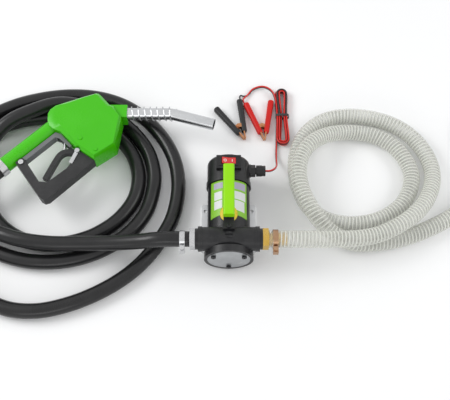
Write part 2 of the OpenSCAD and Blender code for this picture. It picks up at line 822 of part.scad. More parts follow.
// The bypass valve: a spring seat bore, its feed and its two side passages
module bypass_bores() {
  translate([0, barrel_y, bypass_floor_h])
    cylinder(d = bypass_d, h = barrel_d);
  translate([0, barrel_y, bypass_floor_h - bypass_feed_depth])
    cylinder(d = bypass_feed_d, h = bypass_feed_depth + cut);
  along_x(-port_wall_half - cut, barrel_y, bypass_floor_h - bypass_feed_depth / 2)
    cylinder(d = bypass_cross_d, h = port_wall_half + cut);
  along_x(0, barrel_y, bypass_cross_h)
    cylinder(d = bypass_cross_d, h = port_wall_half + cut);
}

module at_cover_screw(k) {
  a = 30 + 120 * k;
  along_y(rim_y, cover_screw_circle_d / 2 * cos(a),
    axis_h + cover_screw_circle_d / 2 * sin(a)) children();
}

module at_bolt(side, y) {
  along_y(y, side * bolt_circle_r * cos(bolt_turn), axis_h + side * bolt_circle_r * sin(bolt_turn))
    children();
}

module cover_plate() {
  color("silver") difference() {
    along_y(rim_y) cylinder(d = cover_d, h = cover_t);
    for (k = [0 : 2])
      at_cover_screw(k) translate([0, 0, -cut])
        cylinder(d = cover_screw_d + 2 * seat, h = cover_t + 2 * cut);
  }
}

module cover_gasket() {
  color("dimgray") difference() {
    along_y(rim_y + cover_t) cylinder(d = cover_d, h = gasket_t);
    along_y(rim_y, 0, axis_h + chamber_offset) cylinder(d = chamber_d, h = flange_t);
    for (k = [0 : 2])
      at_cover_screw(k) cylinder(d = cover_screw_d + 2 * seat, h = flange_t);
  }
}

module cover_screws() {
  color("black") for (k = [0 : 2]) at_cover_screw(k) difference() {
    union() {
      translate([0, 0, -cover_screw_head_t])
        cylinder(d = cover_screw_head_d, h = cover_screw_head_t);
      cylinder(d = cover_screw_d, h = cover_screw_len);
    }
    translate([0, 0, -cover_screw_head_t - cut])
      cylinder(d = screw_socket_d, h = cover_screw_head_t, $fn = hex_sides);
  }
}

module at_vane(k, x0, x1, t, y0, y1) {
  translate([0, 0, axis_h]) rotate([0, 360 / vane_count * k + 18, 0])
    block(x0, x1, y0, y1, -t / 2, t / 2);
}

rotor_y = chamber_y + rotor_side_gap;
vane_tip_r = chamber_d / 2 - chamber_offset - vane_inset;

module rotor() {
  color("gray") difference() {
    along_y(rotor_y) cylinder(d = rotor_d, h = rotor_len);
    along_y(rotor_y - cut) cylinder(d = shaft_d + 2 * run_fit, h = rotor_len + 2 * cut);
    for (k = [0 : vane_count - 1])
      at_vane(k, vane_tip_r - vane_depth - vane_inset, rotor_d, vane_t + 2 * vane_gap,
        rotor_y - cut, rotor_y + rotor_len + cut);
  }
}

module vanes() {
  color("dimgray") for (k = [0 : vane_count - 1])
    at_vane(k, vane_tip_r - vane_depth, vane_tip_r, vane_t, rotor_y, rotor_y + rotor_len);
}

module shaft_seal() {
  color("brown") along_y(seal_y + seat / 2)
    ring(seal_d - 2 * seal_bore_gap, shaft_d + 2 * run_fit, seal_len);
}

module bypass_poppet() {
  color("gold") translate([0, barrel_y, bypass_floor_h + seat]) {
    cylinder(d = bypass_d - 2 * seat, h = poppet_t);
    translate([0, 0, poppet_t]) cylinder(d = poppet_stem_d, h = poppet_stem_len);
  }
}

bypass_spring_h = bypass_floor_h + seat + poppet_t + seat;
plug_h = barrel_h + barrel_d / 2 - plug_t;

module bypass_spring() {
  color("silver") translate([0, barrel_y, bypass_spring_h])
    ring(bypass_spring_d, bypass_spring_d - 2 * bypass_wire_d, plug_h - bypass_spring_h - seat);
}

module bypass_plug() {
  color("silver") translate([0, barrel_y, plug_h]) difference() {
    cylinder(d = bypass_d - 2 * screw_fit, h = plug_t);
    translate([-bypass_d, -plug_slot_w / 2, plug_t - plug_slot_depth])
      cube([2 * bypass_d, plug_slot_w, plug_slot_depth + cut]);
  }
}

module motor_can() {
  color("black") along_y(can_y) ring(can_d, can_d - 2 * can_wall, can_len);
}

module magnets() {
  outer = can_d / 2 - can_wall - magnet_gap;
  color("dimgray") along_y(magnet_y) for (side = [90, 270])
    rotate([0, 0, side - magnet_half_angle])
      rotate_extrude(angle = 2 * magnet_half_angle)
        translate([outer - magnet_t, 0]) square([magnet_t, magnet_len]);
}

module armature() {
  color("peru") difference() {
    union() {
      difference() {
        along_y(armature_y) cylinder(d = armature_d, h = armature_len);
        translate([0, 0, axis_h]) for (k = [0 : armature_slots - 1])
          rotate([0, 360 / armature_slots * k, 0])
            block(armature_d / 2 - slot_depth, armature_d, armature_y - cut,
              armature_y + armature_len + cut, -slot_w / 2, slot_w / 2);
      }
      along_y(armature_y - winding_len) cylinder(d = winding_d, h = winding_len);
      along_y(armature_y + armature_len)
        cylinder(d = winding_d, h = winding_len - winding_gap);
    }
    along_y(armature_y - winding_len - cut)
      cylinder(d = shaft_d + 2 * run_fit, h = armature_len + 2 * winding_len + 2 * cut);
  }
}

module motor_shaft() {
  color("silver") along_y(shaft_front_y)
    cylinder(d = shaft_d, h = shaft_rear_y - shaft_front_y);
}

module commutator() {
  color("peru") along_y(commutator_y)
    ring(commutator_d, shaft_d + 2 * run_fit, commutator_len);
}

module motor_bearings() {
  color("silver") for (y = [bearing_y, rear_bearing_y])
    along_y(y) ring(bearing_d - 2 * seal_bore_gap, shaft_d + 2 * run_fit, bearing_len);
}

module rear_endshield() {
  color("gray") difference() {
    union() {
      along_y(shield_y) cylinder(d = spigot_d, h = shield_t);
      along_y(can_end_y) cylinder(d = can_d - seat, h = shield_lip_t);
      along_y(can_end_y) cylinder(d = shield_boss_d, h = shield_boss_len);
    }
    along_y(shield_y - cut) cylinder(d = shaft_d + 2 * shaft_hole_gap, h = shield_t);
    along_y(rear_bearing_y) cylinder(d = bearing_d, h = shield_t + shield_boss_len);
    for (side = [-1, 1])
      at_bolt(side, shield_y - cut)
        cylinder(d = bolt_d + 2 * seat, h = shield_t + shield_lip_t + 2 * cut);
  }
}

module at_brush(side) {
  translate([0, brush_y, axis_h]) rotate([0, 0, side > 0 ? 0 : 180])
    translate([0, side > 0 ? 0 : -brush_w, 0]) children();
}

module brush_holder() {
  outer = brush_gap + holder_wall;
  plate_y = brush_y + brush_w + brush_gap + holder_wall / 2;
  color("black") difference() {
    union() {
      along_y(plate_y) cylinder(d = holder_plate_d, h = holder_plate_t);
      for (side = [-1, 1]) at_brush(side)
        block(holder_bore_d / 2 + holder_wall, holder_end_x, -outer, brush_w + outer,
          -brush_w / 2 - outer, brush_w / 2 + outer);
    }
    along_y(plate_y - cut) cylinder(d = holder_bore_d, h = holder_plate_t + 2 * cut);
    for (side = [-1, 1]) {
      at_brush(side)
        block(holder_bore_d / 2, holder_end_x - holder_wall, -brush_gap,
          brush_w + brush_gap, -brush_w / 2 - brush_gap, brush_w / 2 + brush_gap);
      at_bolt(side, plate_y - cut)
        cylinder(d = bolt_d + 2 * seat, h = holder_plate_t + 2 * cut);
    }
  }
}

brush_start = commutator_d / 2 + seat;

module brushes() {
  color("black") for (side = [-1, 1]) at_brush(side)
    block(brush_start, brush_start + brush_len, 0, brush_w, -brush_w / 2, brush_w / 2);
}

module brush_springs() {
  color("silver") for (side = [-1, 1]) at_brush(side)
    translate([brush_start + brush_len + seat, brush_w / 2, 0]) rotate([0, 90, 0])
      ring(brush_w - seat, brush_w - seat - 2 * brush_wire_d,
        holder_end_x - holder_wall - brush_start - brush_len - 2 * seat);
}

module through_bolts() {
  end_y = can_end_y + shield_lip_t;
  start_y = can_y + spigot_len - bolt_depth + cut;
  color("silver") for (side = [-1, 1]) {
    at_bolt(side, start_y) cylinder(d = bolt_d, h = end_y - start_y);
    at_bolt(side, end_y) cylinder(d = bolt_head_d, h = bolt_head_t);
  }
}

cap_end_y = cap_start_y + cap_len;
cap_in_r = cap_d / 2 - cap_wall;
cap_edge_y = cap_end_y - cap_edge_r;

module end_cap() {
  color("black") difference() {
    union() {
      along_y(0) rotate_extrude() polygon(concat(
        [[0, cap_start_y], [cap_rim_d / 2, cap_start_y],
          [cap_rim_d / 2, cap_start_y + cap_rim_len],
          [cap_d / 2, cap_start_y + cap_rim_len]],
        [for (k = [0 : cap_edge_steps]) let (a = 90 * k / cap_edge_steps)
          [cap_d / 2 - cap_edge_r + cap_edge_r * cos(a),
            cap_edge_y + cap_edge_r * sin(a)]],
        [[0, cap_end_y]]));
      block(-panel_w / 2, panel_w / 2, panel_y, panel_y + panel_l,
        panel_top - panel_depth, panel_top);
      block(-pad_w / 2, pad_w / 2, cap_start_y, cap_start_y + pad_l,
        panel_top - panel_depth, pad_top);
      along_x(cap_in_r, gland_y, axis_h) cylinder(d = gland_boss_d, h = gland_face_x - cap_in_r);
    }
    along_y(0) rotate_extrude() polygon([
      [0, cap_start_y - cut], [can_d / 2 + seat, cap_start_y - cut],
      [can_d / 2 + seat, can_end_y + shield_lip_t], [cap_in_r, can_end_y + shield_lip_t],
      [cap_in_r, cap_edge_y], [cap_d / 2 - cap_edge_r, cap_end_y - cap_wall],
      [0, cap_end_y - cap_wall]]);
    block(-switch_w / 2 - seat, switch_w / 2 + seat, switch_y - switch_l / 2 - seat,
      switch_y + switch_l / 2 + seat, axis_h + cap_in_r / 2, panel_top + cut);
    along_x(cap_in_r - gland_boss_d / 2, gland_y, axis_h)
      cylinder(d = gland_thread_d + 2 * seat, h = gland_boss_d);
    block(-core_w / 2 - seat, core_w / 2 + seat, heel_y - seat, heel_y + leg_t + seat,
      pad_top - grip_socket_depth, pad_top + cut);
  }
}

module switch_housing() {
  color("black") difference() {
    union() {
      block(-switch_w / 2 - switch_flange_margin, switch_w / 2 + switch_flange_margin,
        switch_y - switch_l / 2 - switch_flange_margin,
        switch_y + switch_l / 2 + switch_flange_margin, panel_top,
        panel_top + switch_flange_t);
      block(-switch_w / 2, switch_w / 2, switch_y - switch_l / 2,
        switch_y + switch_l / 2, panel_top - switch_body_depth, panel_top);
    }
    block(-rocker_w / 2 - rocker_gap, rocker_w / 2 + rocker_gap,
      switch_y - rocker_l / 2 - rocker_gap, switch_y + rocker_l / 2 + rocker_gap,
      panel_top - switch_body_depth + switch_wall, panel_top + switch_flange_t + cut);
    along_y(switch_y - rocker_pin_len / 2, 0, rocker_pivot_h)
      cylinder(d = rocker_pin_d + 2 * run_fit, h = rocker_pin_len);
  }
}

module switch_rocker() {
  w = rocker_w / 2 - rocker_gap;
  color("red") translate([0, switch_y, rocker_pivot_h]) {
    rotate([90, rocker_tilt, 0]) linear_extrude(rocker_l, center = true)
      polygon([[-w, -rocker_h / 5], [-w / 2, -rocker_h * 0.7], [w / 2, -rocker_h * 0.7],
        [w, -rocker_h / 5], [w, rocker_h * 0.6], [0, rocker_h * 0.28], [-w, rocker_h * 0.6]]);
    rotate([90, 0, 0]) cylinder(d = rocker_pin_d, h = rocker_pin_len - 2 * run_fit, center = true);
  }
}

module cable_gland() {
  thread_x = gland_face_x - gland_boss_thread;
  nut_x = gland_face_x + gland_hex_w + gland_nut_gap;
  end_x = gland_face_x + gland_len;
  stub_end = (nut_x + end_x) / 2;
  color("black") {
    difference() {
      union() {
        along_x(thread_x, gland_y, axis_h) cylinder(d = gland_thread_d, h = gland_boss_thread);
        along_x(gland_face_x, gland_y, axis_h)
          cylinder(d = gland_hex_d, h = gland_hex_w, $fn = hex_sides);
        along_x(gland_face_x, gland_y, axis_h)
          cylinder(d = gland_stub_d, h = stub_end - gland_face_x);
      }
      along_x(thread_x - cut, gland_y, axis_h)
        cylinder(d = gland_bore_d, h = stub_end - thread_x + 2 * cut);
    }
    difference() {
      union() {
        along_x(nut_x, gland_y, axis_h) cylinder(d = gland_d, h = end_x - nut_x);
        for (k = [0 : gland_rib_count - 1]) {
          a = 360 / gland_rib_count * k;
          along_x(nut_x, gland_y + gland_d / 2 * cos(a), axis_h + gland_d / 2 * sin(a))
            cylinder(d = gland_rib_d, h = (end_x - nut_x) * 0.6);
        }
      }
      along_x(nut_x - cut, gland_y, axis_h)
        cylinder(d = gland_stub_d + 2 * screw_fit, h = stub_end - nut_x + cut + seat);
      along_x(nut_x - cut, gland_y, axis_h)
        cylinder(d = gland_bore_d, h = end_x - nut_x + 2 * cut);
    }
  }
}

lead_path = smooth(lead_points, 2);
arc_path = smooth(arc_points, 2);
red_tail_path = smooth(red_tail_points, 2);
black_tail_path = smooth(black_tail_points, 2);

module lead_runs() {
  color("firebrick") {
    rod(lead_path, lead_t / 2, lead_w / 2, cord_sides, 0, len(lead_path) - 1);
    rod(arc_path, lead_t / 2, lead_w / 2, cord_sides, 0, len(arc_path) - 1);
    rod(red_tail_path, tail_d / 2, tail_d / 2, cord_sides, 0, len(red_tail_path) - 1);
    rod(black_tail_path, tail_d / 2, tail_d / 2, cord_sides, 0, len(black_tail_path) - 1);
  }
}

module lead_hank() {
  color("firebrick")
    rod(hank_path, lead_t / 2, lead_w / 2, cord_sides, 0, len(hank_path) - 1);
}

// One arm of a clip, from its tip along its inner face; side 1 opens to the left
module clip_arm(side, ear_low) {
  px = clip_pivot * cos(clip_half_angle);
  py = clip_pivot * sin(clip_half_angle);
  rotate([0, 0, side * clip_half_angle]) mirror([0, side > 0 ? 0 : 1, 0]) {
    difference() {
      union() {
        block(seat, clip_len - ear_t, 0, clip_steel_t, clip_mid_h - clip_steel_h / 2,
          clip_mid_h + clip_steel_h / 2);
        for (up = [-1, 1])
          translate([0, 0, clip_mid_h + (up > 0 ? ear_low : -ear_low - ear_t)]) {
            translate([px - ear_len / 2, -py, 0])
              cube([ear_len, py + clip_steel_t, ear_t]);
            translate([px, -py, 0]) cylinder(r = ear_r, h = ear_t);
          }
      }
      translate([px, -py, -cut])
        cylinder(d = clip_pin_d + 2 * run_fit, h = clip_h + 4 * cut);
    }
  }
}

module clip_sleeve(side) {
  px = clip_pivot * cos(clip_half_angle);
  low = clip_mid_h - clip_h / 2;
  rotate([0, 0, side * clip_half_angle]) mirror([0, side > 0 ? 0 : 1, 0]) difference() {
    block(clip_sleeve_start, clip_len, -sleeve_in, clip_sleeve_w - sleeve_in, low, low + clip_h);
    block(0, clip_len - ear_t + clip_sleeve_gap, -clip_sleeve_gap,
      clip_steel_t + clip_sleeve_gap, clip_mid_h - clip_steel_h / 2 - clip_sleeve_gap,
      clip_mid_h + clip_steel_h / 2 + clip_sleeve_gap);
    block(px - ear_len / 2 - ear_gap, px + ear_len / 2 + ear_gap, -sleeve_in - cut, 0,
      clip_mid_h - clip_steel_h / 2 - clip_sleeve_gap,
      clip_mid_h + clip_steel_h / 2 + clip_sleeve_gap);
    translate([clip_len - wire_socket_depth, wire_socket_y, clip_mid_h]) rotate([0, 90, 0])
      cylinder(d = tail_d + 2 * seat, h = wire_socket_depth + cut);
  }
}

module at_black_clip() {
  translate([black_clip_x, black_clip_y, 0]) rotate([0, 0, 90 + black_clip_turn]) children();
}

module at_red_clip() {
  translate([red_clip_x, red_clip_y, 0]) rotate([0, 0, 90 + red_clip_turn]) children();
}

module clip_half(side, ear_low, tint) {
  color("silver") clip_arm(side, ear_low);
  color(tint) clip_sleeve(side);
}

module black_clip_fixed_half() {
  at_black_clip() clip_half(-1, ear_outer, "black");
}

module black_clip_moving_half() {
  at_black_clip() clip_half(1, ear_inner, "black");
}

module red_clip_fixed_half() {
  at_red_clip() clip_half(1, ear_outer, "red");
}

module red_clip_moving_half() {
  at_red_clip() clip_half(-1, ear_inner, "red");
}

module clip_pin() {
  translate([clip_pivot, 0, clip_mid_h - clip_steel_h / 2 - clip_pin_head_t])
    cylinder(d = clip_pin_head_d, h = clip_pin_head_t);
  translate([clip_pivot, 0, clip_mid_h - clip_steel_h / 2 - clip_pin_head_t / 2])
    cylinder(d = clip_pin_d, h = clip_steel_h + clip_pin_head_t);
  translate([clip_pivot, 0, clip_mid_h + clip_steel_h / 2])
    cylinder(d = clip_pin_head_d, h = clip_pin_head_t);
}

module clip_pins() {
  color("silver") {
    at_black_clip() clip_pin();
    at_red_clip() clip_pin();
  }
}

module clip_springs() {
  len = 2 * (ear_inner - seat);
  color("silver") {
    at_black_clip() translate([clip_pivot, 0, clip_mid_h - len / 2])
      ring(clip_spring_d, clip_spring_d - 2 * clip_wire_d, len);
    at_red_clip() translate([clip_pivot, 0, clip_mid_h - len / 2])
      ring(clip_spring_d, clip_spring_d - 2 * clip_wire_d, len);
  }
}

module base_plate() {
  color("black") difference() {
    linear_extrude(plate_t) union() {
      square([plate_w - 2 * plate_corner_r, plate_l], center = true);
      square([plate_w, plate_l - 2 * plate_corner_r], center = true);
      for (x = [-1, 1]) for (y = [-1, 1])
        translate([x * (plate_w / 2 - plate_corner_r), y * (plate_l / 2 - plate_corner_r)])
          circle(plate_corner_r);
    }
    for (x = [-1, 1]) for (y = [-1, 1])
      translate([x * hole_spacing_x / 2, y * hole_spacing_y / 2, -cut])
        cylinder(d = mount_hole_d, h = plate_t + 2 * cut);
    for (x = [-1, 1]) {
      translate([x * foot_screw_x, foot_screw_y, -cut])
        cylinder(d = screw_d + 2 * screw_fit, h = plate_t + 2 * cut);
      translate([x * saddle_screw_x, saddle_y + saddle_l / 2, -cut])
        cylinder(d = screw_d + 2 * screw_fit, h = plate_t + 2 * cut);
    }
  }
}

module motor_saddle() {
  color("black") difference() {
    union() {
      block(-saddle_w / 2, saddle_w / 2, saddle_y, saddle_y + saddle_l, plate_t, saddle_h);
      block(-saddle_ear_w / 2, saddle_ear_w / 2, saddle_y, saddle_y + saddle_l, plate_t,
        plate_t + foot_ear_t);
    }
    along_y(saddle_y - cut) cylinder(d = can_d + 2 * seat, h = saddle_l + 2 * cut);
    for (x = [-1, 1])
      translate([x * saddle_screw_x, saddle_y + saddle_l / 2, 0])
        cylinder(d = screw_d + 2 * screw_fit, h = saddle_h + cut);
  }
}

module screw(x, y, top) {
  translate([x, y, top]) difference() {
    union() {
      translate([0, 0, -screw_len]) cylinder(d = screw_d, h = screw_len);
      cylinder(d = screw_head_d, h = screw_head_t);
    }
    translate([0, 0, screw_head_t / 2])
      cylinder(d = screw_socket_d + 1, h = screw_head_t, $fn = hex_sides);
  }
}

module mounting_screws() {
  color("black") {
    for (x = [-1, 1]) {
      screw(x * foot_screw_x, foot_screw_y, plate_t + foot_ear_t);
      screw(x * saddle_screw_x, saddle_y + saddle_l / 2, plate_t + foot_ear_t);
    }
    screw(0, toe_screw_y, toe_h + toe_t);
  }
}

core_h = handle_top - grip_t / 2 - core_t / 2;
grip_y = leg_y - 3;

module handle_bar() {
  color("black") difference() {
    union() {
      block(-core_w / 2, core_w / 2, leg_y, heel_y + leg_t, core_h, core_h + core_t);
      block(-core_w / 2, core_w / 2, leg_y, leg_y + leg_t, toe_h, core_h + core_t);
      block(-core_w / 2, core_w / 2, heel_y, heel_y + leg_t,
        pad_top - grip_socket_depth + seat, core_h + core_t);
      block(-toe_w / 2, toe_w / 2, toe_boss_y, leg_y + leg_t, toe_h, toe_h + toe_t);
    }
    translate([0, toe_screw_y, toe_h - cut])
      cylinder(d = screw_d + 2 * screw_fit, h = toe_t + 2 * cut);
  }
}

module handle_grip() {
  low = handle_top - grip_t;
  r = grip_t * 0.3;
  color("yellowgreen") difference() {
    translate([0, grip_y, low]) rotate([-90, 0, 0]) mirror([0, 1, 0])
      linear_extrude(grip_len) union() {
        translate([-grip_w / 2 + r, 0]) square([grip_w - 2 * r, grip_t]);
        translate([-grip_w / 2, r]) square([grip_w, grip_t - 2 * r]);
        for (x = [-1, 1]) for (y = [r, grip_t - r])
          translate([x * (grip_w / 2 - r), y]) circle(r);
      }
    block(-core_w / 2 - core_gap, core_w / 2 + core_gap, leg_y - core_gap,
      heel_y + leg_t + core_gap, core_h - core_gap, core_h + core_t + core_gap);
    for (y = [leg_y, heel_y])
      block(-core_w / 2 - core_gap, core_w / 2 + core_gap, y - core_gap,
        y + leg_t + core_gap, low - cut, core_h);
  }
}

// A hose tail along +Z: thread behind the origin, hexagon, then a barbed stem
module hose_tail(thread_d, thread_len, hex_d, hex_len, barb_d, bore_d) {
  difference() {
    union() {
      translate([0, 0, -thread_len]) cylinder(d = thread_d, h = thread_len + cut);
      cylinder(d = hex_d, h = hex_len, $fn = hex_sides);
      translate([0, 0, hex_len - cut]) cylinder(d = barb_d, h = barb_len + cut);
      for (k = [0 : barb_count - 1])
        translate([0, 0, hex_len + barb_len * (k + 0.2) / barb_count])
          cylinder(d1 = barb_d + 2 * barb_rise, d2 = barb_d,
            h = barb_len * 0.75 / barb_count);
    }
    translate([0, 0, -thread_len - cut])
      cylinder(d = bore_d, h = thread_len + hex_len + barb_len + 2 * cut);
  }
}

module outlet_tail() {
  color("silver") mirror([1, 0, 0]) along_x(port_face_x, barrel_y, barrel_h)
    hose_tail(port_bore_d - 2 * thread_gap, tail_thread_len, outlet_hex_d, outlet_hex_len,
      outlet_barb_d, outlet_bore_d);
}

module inlet_tail() {
  color("gold") along_x(port_face_x, barrel_y, barrel_h)
    hose_tail(port_bore_d - 2 * thread_gap, tail_thread_len, inlet_hex_d, inlet_hex_len,
      inlet_barb_d, inlet_bore_d);
}

module hose_clamp(inner) {
  outer = inner + clamp_t;
  along_x(clamp_x, barrel_y, barrel_h) difference() {
    union() {
      cylinder(r = outer, h = clamp_w);
      block(-clamp_lug_h / 2, clamp_lug_h / 2, -outer - clamp_lug_l, -inner, 0, clamp_w);
      translate([-clamp_screw_h / 2, -outer - clamp_lug_l / 2, clamp_w / 2])
        rotate([0, 90, 0]) cylinder(d = clamp_screw_d, h = clamp_screw_h);
    }
    translate([0, 0, -cut]) cylinder(r = inner, h = clamp_w + 2 * cut);
  }
}

module hose_clamps() {
  color("silver") {
    mirror([1, 0, 0]) hose_clamp(delivery_od / 2 + clamp_gap);
    hose_clamp(suction_od / 2 + clamp_gap);
  }
}

module delivery_hose_run() {
  color("black")
    pipe(delivery_path, delivery_radii, delivery_id / 2, 1, delivery_sides, 0,
      delivery_run_rings);
}

module delivery_hose_coil() {
  last = len(delivery_path) - 1;
  color("black")
    blind_pipe(delivery_path, delivery_od / 2, delivery_id / 2, delivery_sides,
      delivery_run_rings, last - delivery_end_rings, last);
}

module suction_hose_run() {
  color("lightgray")
    pipe(suction_path, suction_radii, suction_id / 2, bore_every, suction_sides, 0,
      2 * suction_run_ribs);
}

module suction_hose_coil() {
  color("lightgray")
    pipe(suction_path, suction_radii, suction_id / 2, bore_every, suction_sides,
      2 * suction_run_ribs, len(suction_path) - 1);
}

module suction_strainer() {
  color("black") translate([strainer_x, strainer_y, strainer_h]) rotate([-90, 0, 0]) {
    difference() {
      union() {
        cylinder(d = strainer_d, h = strainer_len);
        translate([0, 0, -strainer_barb_len])
          cylinder(d = inlet_barb_d, h = strainer_barb_len + cut);
      }
      translate([0, 0, strainer_neck_len])
        cylinder(d = strainer_d - 2 * strainer_wall,
          h = strainer_len - strainer_neck_len - strainer_wall);
      translate([0, 0, -strainer_barb_len - cut])
        cylinder(d = inlet_bore_d, h = strainer_barb_len + strainer_neck_len + 2 * cut);
      for (k = [0 : strainer_slots - 1])
        rotate([0, 0, 360 / strainer_slots * k])
          translate([0, -strainer_slot_w / 2,
            (strainer_len + strainer_neck_len - strainer_slot_len) / 2])
            cube([strainer_d, strainer_slot_w, strainer_slot_len]);
    }
  }
}

// Nozzle frame: spout root at the origin, spout along +X, plane of symmetry at z zero
module in_nozzle() {
  translate([nozzle_x, nozzle_y, nozzle_h]) children();
}

module slab(p, half) {
  translate([0, 0, -half]) linear_extrude(2 * half) polygon(p);
}

body_outline = nozzle_size * body_shares;
face_outline = nozzle_size * face_shares;

module on_handle(s) {
  translate([handle_root_x, handle_root_y, 0]) rotate([0, 0, 180 + handle_turn])
    translate([s, 0, 0]) rotate([0, 90, 0]) children();
}

module along_stem(y) {
  translate([stem_x, y, 0]) rotate([-90, 0, 0]) children();
}

module on_snout(x) {
  translate([x, 0, 0]) rotate([0, 90, 0]) children();
}

casting_half = nozzle_t / 2 - edge_h + 1;

module nozzle_casting() {
  color("gray") in_nozzle() difference() {
    union() {
      slab(outward(body_outline, -cover_wall), casting_half);
      on_snout(-snout_len - snout_h / 4) cylinder(d = snout_boss_d, h = snout_len + snout_h / 4);
      on_handle(-handle_overlap) cylinder(d = handle_casting_d,
        h = handle_len + collar_len + handle_overlap);
    }
    lever_pocket();
    on_snout(-spout_depth) cylinder(d = spout_d + 2 * socket_gap, h = spout_depth + cut);
    along_stem(lower_chamber_y) cylinder(d = lower_chamber_d, h = seat_y - lower_chamber_y + cut);
    along_stem(seat_y) cylinder(d = upper_chamber_d, h = nozzle_size / 2);
    along_stem(-nozzle_size / 2) cylinder(d = stem_d + 2 * run_fit, h = nozzle_size / 2);
    translate([stem_x, lower_chamber_y + passage_d / 2 + cut, 0]) rotate([0, 0, passage_turn])
      rotate([0, 90, 0]) cylinder(d = passage_d, h = passage_len);
    on_handle(-handle_overlap / 2)
      cylinder(d = flow_bore_d, h = handle_len + collar_len + handle_overlap);
    on_handle(handle_len + collar_len - nozzle_thread_len)
      cylinder(d = nozzle_thread_d + 2 * thread_gap, h = nozzle_thread_len + cut);
    for (p = cover_screw_places)
      translate([p[0], p[1], casting_half - small_screw_len])
        cylinder(d = small_screw_d + 2 * screw_fit, h = nozzle_t);
  }
}

// The slot that the trigger lever swings in
module lever_pocket() {
  slab(nozzle_size * lever_pocket_shares, lever_t / 2 + guard_side_gap);
}

module nozzle_cover() {
  n = len(body_outline);
  h = nozzle_t / 2;
  low = h - edge_h;
  rings = [face_outline, body_outline, body_outline, face_outline];
  heights = [-h, -low, low, h];
  color("green") in_nozzle() difference() {
    union() {
      polyhedron(
        points = [for (k = [0 : 3]) for (p = rings[k]) [p[0], p[1], heights[k]]],
        faces = concat(
          [[for (j = [0 : n - 1]) j]],
          [for (k = [0 : 2]) for (j = [0 : n - 1])
            let (a = k * n + j, b = k * n + (j + 1) % n)
              each [[a, a + n, b], [b, a + n, b + n]]],
          [[for (j = [n - 1 : -1 : 0]) 3 * n + j]]));
      block(-snout_len, 0, snout_y - snout_h / 2, snout_y + snout_h / 2, -snout_w / 2,
        snout_w / 2);
      on_handle(-handle_overlap) cylinder(d = nozzle_grip_d, h = handle_len + handle_overlap);
    }
    slab(outward(body_outline, cover_gap - cover_wall), casting_half + cover_gap);
    on_snout(-snout_len - snout_h / 4 - cut)
      cylinder(d = snout_boss_d + 2 * cover_gap, h = 2 * snout_len);
    on_handle(-handle_overlap)
      cylinder(d = handle_casting_d + 2 * cover_gap, h = handle_len + handle_overlap + cut);
    along_stem(-nozzle_size / 2) cylinder(d = stem_d + 4 * seat, h = nozzle_size / 2);
    lever_pocket();
    translate([pivot_x, pivot_y, guard_t / 2]) cylinder(d = pivot_boss_d - 2, h = nozzle_t);
    for (p = cover_screw_places)
      translate([p[0], p[1], 0]) cylinder(d = small_screw_d + 2 * seat, h = nozzle_t);
  }
}

tail_start = handle_len + collar_len + seat;

module nozzle_hose_tail() {
  color("dimgray") in_nozzle() on_handle(tail_start)
    difference() {
      union() {
        translate([0, 0, -nozzle_thread_len + 1])
          cylinder(d = nozzle_thread_d, h = nozzle_thread_len);
        cylinder(d = tail_nut_d, h = tail_nut_len, $fn = hex_sides);
        cylinder(d = nozzle_barb_d, h = tail_nut_len + nozzle_barb_len);
      }
      translate([0, 0, -nozzle_thread_len])
        cylinder(d = tail_bore_d, h = nozzle_thread_len + tail_nut_len + nozzle_barb_len + cut);
    }
}

module nozzle_collar() {
  color("silver") in_nozzle() on_handle(handle_len + seat)
    ring(collar_outer_d, handle_casting_d + 2 * collar_gap, collar_len - seat);
}

// Centre of the spout and its turn, at a distance from its root
bend_len = spout_bend_r * spout_turn * PI / 180;
function spout_angle(s) = -min(max(s - spout_root, 0), bend_len) / spout_bend_r * 180 / PI;
function spout_at(s) =
  let (a = -spout_angle(s), rest = max(s - spout_root - bend_len, 0))
    [min(s, spout_root) + spout_bend_r * sin(a) + rest * cos(a),
      -spout_bend_r * (1 - cos(a)) - rest * sin(a)];

// The spout's bar, whose bend is a little slimmer and laps into both straight ends
module spout_bar(d, over) {
  p = spout_at(spout_root + bend_len);
  on_snout(seat - spout_depth - over)
    cylinder(d = d, h = spout_root + spout_depth - seat + over);
  translate([spout_root, -spout_bend_r, 0]) rotate([0, 0, 90 - spout_turn - bend_lap])
    rotate_extrude(angle = spout_turn + 2 * bend_lap) translate([spout_bend_r, 0])
      circle(d = d - bend_trim);
  translate([p[0], p[1], 0]) rotate([0, 0, -spout_turn]) rotate([0, 90, 0])
    cylinder(d = d, h = spout_tip + over);
}

module spout() {
  color("silver") in_nozzle() difference() {
    spout_bar(spout_d, 0);
    spout_bar(spout_bore, cut);
  }
}

coil_r = (spout_d / 2 + spout_coil_gap + spout_wire_d / 2) / cos(22.5);

module spout_spring() {
  p = [for (i = [0 : 8 * spout_coils])
    let (s = spout_coil_start + spout_coil_pitch * i / 8, c = spout_at(s),
      a = spout_angle(s), r = coil_r * cos(45 * i))
      [c[0] - r * sin(a), c[1] + r * cos(a), coil_r * sin(45 * i)]];
  color("silver") in_nozzle()
    rod(p, spout_wire_d / 2, spout_wire_d / 2, cord_sides, 0, 8 * spout_coils);
}

module guard() {
  color("green") in_nozzle() difference() {
    slab(nozzle_size * guard_outer_shares, guard_t / 2);
    lever_pocket();
    translate([pivot_x, pivot_y, -guard_t])
      cylinder(d = pivot_pin_d + 2 * run_fit, h = 2 * guard_t);
    translate([guard_screw_x, guard_screw_y, -guard_t])
      cylinder(d = guard_screw_d + 2 * screw_fit, h = 2 * guard_t);
  }
}

module guard_rail() {
  color("gray") in_nozzle() difference() {
    slab(nozzle_size * rail_shares, rail_t / 2);
    translate([stem_x - lever_slot_len / 2, -nozzle_size, -lever_t / 2 - guard_side_gap])
      cube([nozzle_size, nozzle_size, lever_t + 2 * guard_side_gap]);
  }
}

